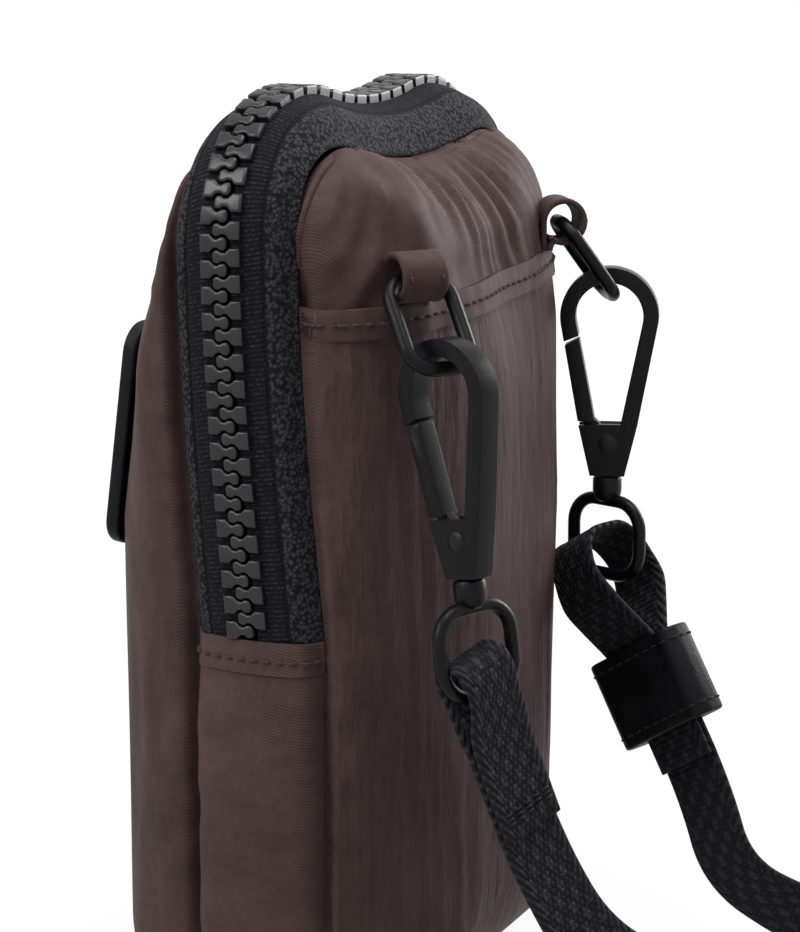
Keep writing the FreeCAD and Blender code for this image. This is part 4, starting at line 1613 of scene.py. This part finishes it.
@dataclass
class Patch:
    """The bare leather patch on the front, sewn round its edge."""

    palette: Palette
    width: float = 74.0
    height: float = 47.4
    thick: float = 3.2
    corner: float = 6.0
    middle_z: float = 117.8
    row_inset: float = 2.6

    def rim(self, inset: float) -> list[Point]:
        """Points (x, z) round the patch, drawn in by an inset."""
        return rounded_box(self.width / 2 - inset, self.height / 2 - inset, self.corner - inset, 9)

    def build(self) -> None:
        """Make the patch and its stitches."""
        y = SHAPE.leaned(-SHAPE.seam_y - SHAPE.front_bulge, self.middle_z)
        up = Vector((0, SHAPE.front_slope, 1)).normalized()
        axes = axes_at(Vector((0, y, self.middle_z)), Vector((1, 0, 0)), up)
        middle = axes @ Matrix.Translation((0, 0, self.thick / 2))
        plate = slab("patch", self.rim(0.0), self.thick, middle, 0.8, 4)
        dress(plate, self.palette.leather, "pouch", ["front_patch"])
        rim = self.rim(self.row_inset)
        row = np.array([axes @ Vector((x, z, self.thick)) for x, z in rim + rim[:1]])
        thread = Seam(stitch=2.2, gap=0.8, radius=0.24)
        stitches = thread.sew("patch_stitches", [(row, lambda _: np.array(axes.col[2].xyz))])
        dress(stitches, self.palette.black_thread)


def heading(degrees: float) -> Vector:
    """The level direction at an angle from +X."""
    return Vector((math.cos(math.radians(degrees)), math.sin(math.radians(degrees)), 0.0))


def axes_at(origin: Vector, x: Vector, y: Vector) -> Matrix:
    """Axes with a given origin in millimetres, and X and Y directions."""
    z = x.cross(y)
    return Matrix((*((x[n], y[n], z[n], origin[n]) for n in range(3)), (0, 0, 0, 1)))


def lathe(name: str, profile: Sequence[Point], axes: Matrix, sides: int = 28) -> bpy.types.Object:
    """A turned piece about its own Y axis.

    Args:
        name: The object's name.
        profile: Points (radius, height) in millimetres, from one end of the axis to the other.
        axes: Its own axes.
        sides: Points round it.

    Returns:
        The new object.
    """
    points = []
    for radius, high in profile:
        points += [axes @ Vector((radius * math.cos(a), high, radius * math.sin(a)))
                   for a in np.linspace(0, 2 * math.pi, sides, endpoint=False)]
    faces = [*grid_faces(len(profile), sides, True), tuple(range(sides))[::-1],
             tuple(range((len(profile) - 1) * sides, len(profile) * sides))]
    piece = turn_outwards(make_mesh(name, points, faces))
    piece.data.set_sharp_from_angle(angle=math.radians(40))
    return piece


def oval(width: float, height: float, corner: float, axes: Matrix, steps: int = 9) -> list[Vector]:
    """The middle line of a ring that hangs from its own origin.

    Args:
        width: The ring's width, in millimetres.
        height: Its height.
        corner: Radius of its corners.
        axes: Its own axes.
        steps: Points to each corner.

    Returns:
        The line's points.
    """
    w, r = width / 2, corner
    line = []
    for x, y, start in ((w - r, -r, 0), (r - w, -r, 90), (r - w, r - height, 180), (w - r, r - height, 270)):
        line += [axes @ (Vector((x, y, 0)) + heading(a) * r) for a in np.linspace(start, start + 90, steps)]
    return line


def teardrop(radius: float, centre: float, shoulder: Point, foot: Point) -> np.ndarray:
    """A closed outline with a round top on straight sides, from its foot's middle up its right side.

    Args:
        radius: Radius of its top, in millimetres.
        centre: Height of the top's centre.
        shoulder: Half width and height of its shoulders.
        foot: Half width and height of its foot.

    Returns:
        Points (x, y).
    """
    dx, dy = shoulder[0], shoulder[1] - centre
    angle = math.atan2(dy, dx) + math.acos(radius / math.hypot(dx, dy))
    right = [(0.0, foot[1]), tuple(foot), tuple(shoulder)]
    right += [(radius * math.cos(a), centre + radius * math.sin(a))
              for a in np.linspace(angle, math.pi / 2, 20)]
    corners = np.array([(x, y, 0.0) for x, y in right + [(-x, y) for x, y in right[-2::-1]]])
    far = lengths_along(corners)
    fine = np.union1d(far, np.linspace(0, far[-1], 260))
    return np.stack([np.interp(fine, far, corners[:, 0]), np.interp(fine, far, corners[:, 1])], axis=1)[:-1]


@dataclass
class Hang:
    """How one side's hook and strap hang, with sizes in millimetres."""

    side: Side
    hook_heading: float
    lean: float
    eye_heading: float
    tilt: float
    ring_tilt: float = 36.0
    ring_height: float = 19.6
    ring_wire: float = 3.4
    hook_length: float = 46.0
    hook_bar: float = 3.7
    hang_gap: float = 0.5
    eye_foot: float = -22.45

    def __post_init__(self) -> None:
        """Work out every axis from the ring's own hinge."""
        joints = frame["record"]["behaviour"]["joints"]
        hinge = next(j for j in joints if j["name"] == f"{self.side.value}_swing")
        self.ring_top = Vector(hinge["pos_m"]) / MM
        self.axis = Vector(hinge["axis"]).normalized()
        self.out = UP.cross(self.axis)
        tilt, lean, turn = (math.radians(a) for a in (self.ring_tilt, self.lean, self.tilt))
        self.up_ring = UP * math.cos(tilt) - self.out * math.sin(tilt)
        plane = heading(self.hook_heading)
        self.stem = UP * math.cos(lean) - plane * math.sin(lean)
        self.spine = plane * math.cos(lean) + UP * math.sin(lean)
        foot = self.ring_top - self.up_ring * self.ring_height
        self.foot = foot + self.stem * (self.ring_wire / 2 + self.hang_gap - self.hook_length + self.hook_bar)
        bar = heading(self.eye_heading)
        self.bar = (bar - self.stem * bar.dot(self.stem)).normalized()
        self.bar_middle = self.foot + self.stem * self.eye_foot
        self.run = self.bar * math.sin(turn) - self.stem * math.cos(turn)
        self.width = self.bar * math.cos(turn) + self.stem * math.sin(turn)
        self.strap = axes_at(self.bar_middle, self.width.cross(self.run), -self.run)


@dataclass
class Carrier:
    """Loop, ring, snap hook and swivel eye of one side."""

    palette: Palette
    hang: Hang
    loop_length: float = 10.0
    loop_radius: float = 4.45
    loop_cloth: float = 1.3
    loop_stand: float = 5.6
    loop_lift: float = 0.4
    loop_round: float = 1.035
    loop_rows: float = 3.5
    loop_row_half: float = 1.8
    ring_width: float = 13.6
    ring_corner: float = 5.0
    ring_ease: float = 0.25
    crown_ease: float = 0.35
    hook_width: float = 21.4
    hook_thick: float = 5.0
    base: tuple[float, float, float] = (7.6, 13.0, 11.5)
    opening_foot: float = 5.6
    gate_reach: float = 24.1
    gate_gap: float = 0.3
    pivot: float = 7.2
    hub: float = 2.6
    tongue: float = 2.2
    eye: tuple[float, float, float, float] = (18.4, 16.7, 6.0, 2.8)
    rivet_head: tuple[Point, ...] = ((0.01, 3.12), (0.9, 3.08), (1.6, 2.92), (2.05, 2.62), (2.1, 2.42),
                                     (1.2, 2.42))
    stud: tuple[Point, ...] = ((0.01, -6.2), (1.6, -6.0), (2.6, -5.4), (3.1, -4.4), (3.2, -3.4), (3.2, -0.9),
                               (2.9, -0.45), (2.4, -0.32), (1.3, -0.32), (1.3, 1.9), (1.9, 1.9), (1.9, 3.2),
                               (0.01, 3.2))

    def name(self, piece: str) -> str:
        """A piece's or body's name on this side."""
        return f"{self.hang.side.value}_{piece}"

    def build_loop(self) -> None:
        """The folded cloth loop that stands on the pocket's hem."""
        h, r = self.hang, self.loop_radius
        centre = h.ring_top + UP * self.loop_lift
        full = r * self.loop_round
        around = [(-r, -self.loop_stand - 0.5), (-r, -3.5), (-r, -1.5)]
        around += [(full * math.cos(math.radians(a)), full * math.sin(math.radians(a)))
                   for a in range(165, -136, -30)]
        around += [(-2.2, -r + 0.4), (-r + 1.4, -r - 0.6), (-r + 1.35, -self.loop_stand - 0.5)]
        line = smooth_line([centre + h.out * a + UP * b for a, b in around], 8)
        loop = ribbon(self.name("cloth_loop"), line, lambda n, along: np.array(h.axis), self.loop_length,
                      self.loop_cloth)
        dress(loop, self.palette.shell, "pouch", [self.name("loop")])
        rows = []
        for across in (-self.loop_rows, self.loop_rows):
            middle, reach = centre + h.out * (r + 0.5) + h.axis * across, UP * self.loop_row_half
            rows.append((np.array([middle - reach, middle + reach]), lambda _: np.array(h.out)))
        stitches = Seam(stitch=1.5, gap=0.5, radius=0.24).sew(self.name("loop_stitches"), rows)
        dress(stitches, self.palette.brown_thread)

    def build_ring(self) -> None:
        """The round-wire ring."""
        h = self.hang
        line = oval(self.ring_width, h.ring_height, self.ring_corner, axes_at(h.ring_top, h.axis, h.up_ring))
        ring = tube(self.name("wire_ring"), line, h.ring_wire / 2 - self.ring_ease)
        dress(ring, self.palette.metal, self.name("ring"), [self.name("ring")])

    def build_hook(self) -> None:
        """Hook frame, sprung gate and rivet."""
        h, p = self.hang, self.palette
        foot, top, high = self.base
        centre = h.hook_length - self.hook_width / 2
        outer = teardrop(self.hook_width / 2, centre, (top / 2, high), (foot / 2, 0.0))
        inner = teardrop(self.hook_width / 2 - h.hook_bar + self.crown_ease, centre,
                         (self.opening_foot / 2 + 0.7, high + h.hook_bar), (self.opening_foot / 2, high))
        axes = axes_at(h.foot, h.spine, h.stem)

        def gated(line: np.ndarray, reach: float, low: float) -> np.ndarray:
            """Which points of an outline the gate takes, within a reach of its pivot and above a height."""
            away = np.hypot(line[:, 0], line[:, 1] - self.pivot)
            return (line[:, 0] < -self.opening_foot / 2 + 0.05) & (line[:, 1] > low) & (away < reach)

        sides = []
        for line in (outer, inner):
            taken = gated(line, self.gate_reach + self.gate_gap, high - 0.01)
            sides.append(np.roll(line[~taken], -int(np.argmax(taken)), axis=0))
        outline = np.concatenate([sides[0], sides[1][::-1]])
        body = slab(self.name("hook"), [tuple(q) for q in outline], self.hook_thick, axes, 1.25, 5)
        low = self.pivot - self.hub - self.gate_gap
        slot = slab("slot", [(-9, low), (3.2, low), (3.2, high + 4), (-9, high + 4)],
                    self.tongue + 2 * self.gate_gap, axes, 0.02, 1)
        modify(body, "BOOLEAN", object=slot, operation="DIFFERENCE", solver="EXACT")
        apply_all(body)
        bpy.data.objects.remove(slot)
        dress(body, p.metal, self.name("hook"), [self.name("hook_frame")])
        low = high + self.gate_gap
        limb_outer = outer[gated(outer, self.gate_reach, low)]
        limb_inner = inner[gated(inner, self.gate_reach, low)]
        limb = [tuple(q) for q in np.concatenate([limb_outer, limb_inner[::-1]])]
        gate = slab(self.name("gate_limb"), limb, self.hook_thick - 2 * self.gate_gap, axes, 0.85, 4)
        dress(gate, p.metal, self.name("gate"), [self.name("hook_gate")])
        heel = [x for x, y in limb if y < low + 1.5]
        web = [(min(heel) + 0.4, low + 1.0), (max(heel) - 0.2, low + 1.0), (self.hub, self.pivot)]
        web += [(self.hub * math.cos(a), self.pivot + self.hub * math.sin(a))
                for a in np.linspace(-0.3, -math.pi + 0.3, 12)]
        web.append((-self.hub, self.pivot))
        tongue = slab(self.name("gate_tongue"), web, self.tongue, axes, 0.25, 2)
        dress(tongue, p.metal, self.name("gate"))
        across = axes_at(h.foot + h.stem * self.pivot, h.stem, h.spine.cross(h.stem))
        profile = [(r, -y) for r, y in self.rivet_head] + list(self.rivet_head[::-1])
        rivet = lathe(self.name("rivet"), profile, across)
        dress(rivet, p.rivet, self.name("hook"), [self.name("gate_pin")])

    def build_eye(self) -> None:
        """The swivel stud and the eye that it carries."""
        h, p = self.hang, self.palette
        wide, tall, corner, wire = self.eye
        axes = axes_at(h.foot, h.bar, h.stem)
        hung = axes @ Matrix.Translation((0, h.eye_foot + tall, 0))
        ring = tube(self.name("wire_eye"), oval(wide, tall, corner, hung), wire / 2)
        dress(ring, p.metal, self.name("strap"), [self.name("eye")])
        stud = lathe(self.name("swivel_stud"), self.stud, axes)
        dress(stud, p.metal, self.name("strap"), [self.name("stud")])


@dataclass
class Strap:
    """The webbing strap: two folded ends, two free runs, the rolled middle and the leather keeper."""

    palette: Palette
    left: Hang
    right: Hang
    width: float = 15.0
    thick: float = 1.6
    fold: float = 0.9
    pitch: float = 5.5
    half_turns: tuple[int, int] = (8, 7)
    centre: tuple[float, float] = (30.0, 150.0)
    tails: tuple[float, float] = (30.0, 46.0)
    keeper: tuple[float, float, float, float] = (26.4, 9.6, 20.4, 17.3)
    keeper_hole: tuple[float, float] = (7.8, 2.0)
    keeper_rows: float = 0.37
    tack_rows: tuple[float, ...] = (-23.6, -24.6, -25.6)
    tack_half: float = 6.6
    left_route: tuple[Point, ...] = ((31, 66, 20), (20, 83, 10.5), (6, 106, 8.2), (-6, 130, 7.7))
    right_route: tuple[Point, ...] = ((-30, 73, 19), (-33, 88, 10.5), (-30, 107, 8.2), (-19, 130, 7.7))

    def folded_end(self, hang: Hang, line: Sequence[Point], narrow: float) -> bpy.types.Object:
        """A folded strap end through an eye.

        Args:
            hang: The side that it hangs on.
            line: Half of its middle line (across, along) in millimetres, from tail to crown.
            narrow: How far up it is squeezed by the eye.

        Returns:
            The new object, riding with its eye.
        """
        half = list(line)
        whole = half + [(-x, y) for x, y in half[-2::-1]]
        path = smooth_line([hang.strap @ Vector((x, y, 0)) for x, y in whole], 8)
        inward = hang.strap.inverted()
        high = [(inward @ Vector(q)).y for q in path]
        side = np.array(hang.width)
        squeeze = [1 - 0.15 * held((y - narrow) / 6.0) for y in high]
        side_name = hang.side.value
        end = ribbon(f"{side_name}_folded_end", path, lambda n, along: side * squeeze[n], self.width,
                     self.thick)
        return dress(end, self.palette.webbing, f"{side_name}_strap", [f"{side_name}_strap_end"])

    def build_ends(self) -> None:
        """The sewn left end and the open right loop."""
        f = self.fold
        sewn = [(f, -29.6), (f, -20), (f, -12), (f + 0.6, -7), (3.6, 0), (4.3, 4.5), (3.0, 7.6), (0, 7.9)]
        open_loop = [(f, -45.6), (f, -34), (f, -23), (f + 1.0, -17.5), (5.4, -12), (9.8, -4.5), (10.0, 3),
                     (6.2, 9.2), (0, 9.4)]
        self.folded_end(self.left, sewn, -6.0)
        self.folded_end(self.right, open_loop, -5.0)
        rows = []
        for face in (-1, 1):
            out = np.array(self.left.strap.to_3x3() @ Vector((face, 0, 0)))
            lift = face * (self.fold + self.thick / 2 - 0.1)
            for y in self.tack_rows:
                ends = [self.left.strap @ Vector((lift, y, z)) for z in (-self.tack_half, self.tack_half)]
                rows.append((np.array(ends), lambda _, out=out: out))
        tack = Seam(stitch=1.9, gap=0.35, radius=0.26).sew("sewn_end_tack", rows)
        dress(tack, self.palette.black_thread, "left_strap")

    def build_keeper(self) -> None:
        """The stitched leather sleeve on the looped end."""
        wide, deep, high, top = self.keeper
        s = self.right.strap
        axes = axes_at(s @ Vector((0, -top - high / 2, 0)), s.col[2].xyz, s.col[0].xyz)
        w, d, r = wide / 2, deep / 2, deep / 2 - 1.0
        rim = rounded_box(w, d, r, 10)
        x, y = self.keeper_hole
        hole = [(-x, -y), (x, -y), (x, y), (-x, y)]
        sleeve = slab("leather_keeper", rim, high, axes, 0.7, 3, holes=[hole])
        dress(sleeve, self.palette.leather, "strap_keeper", ["keeper"])
        inward = axes.inverted()

        def outward(place: np.ndarray) -> np.ndarray:
            """Find the way out from the sleeve's core.

            Args:
                place: A place on its side, in millimetres.

            Returns:
                The unit direction there.
            """
            x, y, _ = inward @ Vector(place)
            away = Vector((x - max(r - w, min(w - r, x)), y - max(r - d, min(d - r, y)), 0))
            return np.array(axes.to_3x3() @ away.normalized())

        rows = [(np.array([axes @ Vector((x, y, level)) for x, y in rim + rim[:1]]), outward)
                for level in (-high * self.keeper_rows, high * self.keeper_rows)]
        stitches = Seam(stitch=2.0, gap=0.7, radius=0.24, lift=0.06).sew("keeper_stitches", rows)
        dress(stitches, self.palette.black_thread, "strap_keeper")

    def roll_point(self, arm: int, k: int, angle: float, grow: float = 1.0) -> tuple[float, float, float]:
        """A point of the roll's middle line on one half turn.

        Args:
            arm: 1 for the left strap's side of the roll, -1 for the right's.
            k: Number of the half turn, from the middle.
            angle: Degrees along it.
            grow: How far outside the line a control point lies, as a factor.

        Returns:
            The point, in millimetres.
        """
        shift = self.pitch / 2 if k % 2 else -self.pitch / 2
        radius = (k + 0.5) * self.pitch * grow
        turned = math.radians(angle) + (math.pi if k % 2 else 0.0)
        x, y = shift + radius * math.cos(turned), radius * math.sin(turned)
        return (self.centre[0] + arm * x, self.centre[1] + arm * y, self.width / 2)

    def build_free(self) -> None:
        """The two free runs and the roll between them."""
        first, second = self.half_turns
        starts = {Side.RIGHT: self.roll_point(-1, first - 1, 180),
                  Side.LEFT: self.roll_point(1, second - 1, 180)}
        routes = {Side.LEFT: self.left_route, Side.RIGHT: self.right_route}

        def upright(_: int, along: np.ndarray) -> np.ndarray:
            """The unit direction nearest to up across a direction."""
            side = np.array(UP) - along * along[2]
            return side / np.linalg.norm(side)

        for hang, tail in zip((self.left, self.right), self.tails):
            side = hang.side
            leave = hang.strap @ Vector((self.fold, -tail + 5, 0))
            onward = hang.strap @ Vector((self.fold, -tail - 7, 0))
            line = smooth_line([leave, onward, *routes[side], starts[side]], 14)
            far = lengths_along(line)

            def turning(n: int, along: np.ndarray, hang: Hang = hang, far: np.ndarray = far) -> np.ndarray:
                """Turn from the strap end's width to upright along a run.

                Args:
                    n: A point's number.
                    along: The direction there.
                    hang: The run's side.
                    far: Distance along it at each point.

                Returns:
                    The unit direction across it.
                """
                share = held((far[n] - 15.0) / 70.0)
                share = share * share * (3 - 2 * share)
                end = upright(n, along)
                start = np.array(hang.width) * math.copysign(1.0, float(end @ np.array(hang.width)))
                across = start * (1 - share) + end * share
                across = across - along * (across @ along)
                return across / np.linalg.norm(across)

            run = ribbon(f"{side.value}_run", line, turning, self.width, self.thick)
            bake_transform(run)
            dress(run, self.palette.webbing, None, [f"strap_run_{side.value}"])
            self.width * MM
        grow = 1 / math.cos(math.radians(180 / 16))
        angles = [180 * (n + 0.5) / 8 for n in range(8)]
        controls = [starts[Side.RIGHT]]
        controls += [self.roll_point(-1, k, a, grow) for k in range(first - 1, -1, -1) for a in angles[::-1]]
        controls += [self.roll_point(1, k, a, grow) for k in range(second) for a in angles]
        line = smooth_line([*controls, starts[Side.LEFT]], 4)
        roll = ribbon("rolled_middle", line, upright, self.width, self.thick)
        dress(roll, self.palette.webbing, "pouch", ["strap_roll"])
        self.width * MM


@dataclass
class Studio:
    """Pale floor, soft light and the camera."""

    target: tuple[float, float, float] = (0.00014, 0.00841, 0.10927)
    azimuth: float = 115.08
    elevation: float = 11.24
    distance: float = 0.5545
    lens: float = 101.4
    sensor: float = 36.0
    aim: tuple[float, float, float] = (0.0, 0.01, 0.1)
    floor_reach: float = 60000.0
    floor_drop: float = 0.4
    floor_grey: float = 0.5
    floor_fade: tuple[float, float] = (0.2, 0.75)
    floor_white: float = 0.84
    floor_level: float = 1.1
    ambient: float = 0.14
    lamps: tuple[tuple[str, tuple[float, float, float], float, float], ...] = (
        ("key", (0.74, -0.5, 0.75), 0.5, 6.2), ("fill", (0.95, 0.45, 0.35), 0.8, 0.4),
        ("top", (0.05, 0.15, 0.95), 0.6, 7.2), ("back", (-0.95, 0.5, 0.45), 0.5, 8.6))

    def build(self) -> None:
        """Make the floor, the lights and the camera."""
        scene = bpy.context.scene
        scene.view_settings.view_transform = "Standard"
        a, e = math.radians(self.azimuth), math.radians(self.elevation)
        away = Vector((math.sin(a) * math.cos(e), -math.cos(a) * math.cos(e), math.sin(e)))
        camera = bpy.data.objects.new("camera", bpy.data.cameras.new("camera"))
        camera.data.lens = self.lens
        camera.data.sensor_fit = "VERTICAL"
        camera.data.sensor_height = self.sensor
        camera.location = Vector(self.target) + away * self.distance
        camera.rotation_euler = (-away).to_track_quat("-Z", "Y").to_euler()
        scene.collection.objects.link(camera)
        scene.camera = camera
        far = self.floor_reach
        corners = [(x, y, -self.floor_drop) for x, y in ((-far, -far), (far, -far), (far, far), (-far, far))]
        floor = make_mesh("floor", corners, [(0, 1, 2, 3)])
        floor.data.materials.append(self.pale_floor())
        for name, place, size, power in self.lamps:
            light = bpy.data.lights.new(name, "AREA")
            light.size, light.energy = size, power
            lamp = bpy.data.objects.new(name, light)
            lamp.location = place
            lamp.rotation_euler = (Vector(self.aim) - Vector(place)).to_track_quat("-Z", "Y").to_euler()
            scene.collection.objects.link(lamp)
        scene.world = bpy.data.worlds.new("studio")
        g = Graph(scene.world)
        level = g.mix(self.directly_seen(g), (self.ambient,) * 3, (1.0, 1.0, 1.0))
        g.node("ShaderNodeOutputWorld", {}, {0: g.out("ShaderNodeBackground", {}, {"Color": level})})

    def directly_seen(self, g: Graph) -> Wire:
        """Tell rays from the camera, or from a shiny or clear surface.

        Args:
            g: The node tree's maker.

        Returns:
            1 for such rays, and 0 for others.
        """
        path = g.node("ShaderNodeLightPath", {}, {})
        seen, shiny, clear = (Wire(g, path.outputs[f"Is {kind} Ray"])
                              for kind in ("Camera", "Glossy", "Transmission"))
        return seen.most(shiny).most(clear)

    def pale_floor(self) -> bpy.types.Material:
        """A floor that shows white and keeps the shadow.

        Returns:
            Its material.
        """
        g = Graph(bpy.data.materials.new("pale_floor"))
        away = g.out("ShaderNodeVectorMath", {"operation": "LENGTH"}, {0: g.place()}, "Value")
        white_share = self.floor_white + away.ramp(*self.floor_fade) * (1 - self.floor_white)
        diffuse = g.out("ShaderNodeBsdfDiffuse", {}, {"Color": (self.floor_grey,) * 3})
        white = g.out("ShaderNodeEmission", {}, {"Color": (1.0, 1.0, 1.0), "Strength": self.floor_level})
        share = self.directly_seen(g) * white_share
        mixed = g.out("ShaderNodeMixShader", {}, {0: share, 1: diffuse, 2: white})
        g.node("ShaderNodeOutputMaterial", {}, {0: mixed})
        return g.owner


def main() -> None:
    """Build every sub-assembly in order."""
    logging.basicConfig(level=logging.INFO, format="%(name)s %(message)s")
    Studio().build()
    palette = Palette()
    left = Hang(Side.LEFT, 72.0, 9.0, 156.0, 17.0)
    right = Hang(Side.RIGHT, 108.0, 0.0, 72.0, 32.0)
    strap = Strap(palette, left, right)
    strap.build_free()
    strap.build_ends()
    strap.build_keeper()
    shell = Shell(palette)
    shell.build_panels()
    shell.build_gusset()
    shell.build_lining()
    zipper = Zip(palette, shell)
    zipper.build_rows()
    zipper.build_slider()
    Patch(palette).build()
    for hang in (left, right):
        carrier = Carrier(palette, hang)
        carrier.build_loop()
        carrier.build_ring()
        carrier.build_hook()
        carrier.build_eye()


if __name__ == "__main__":
    main()
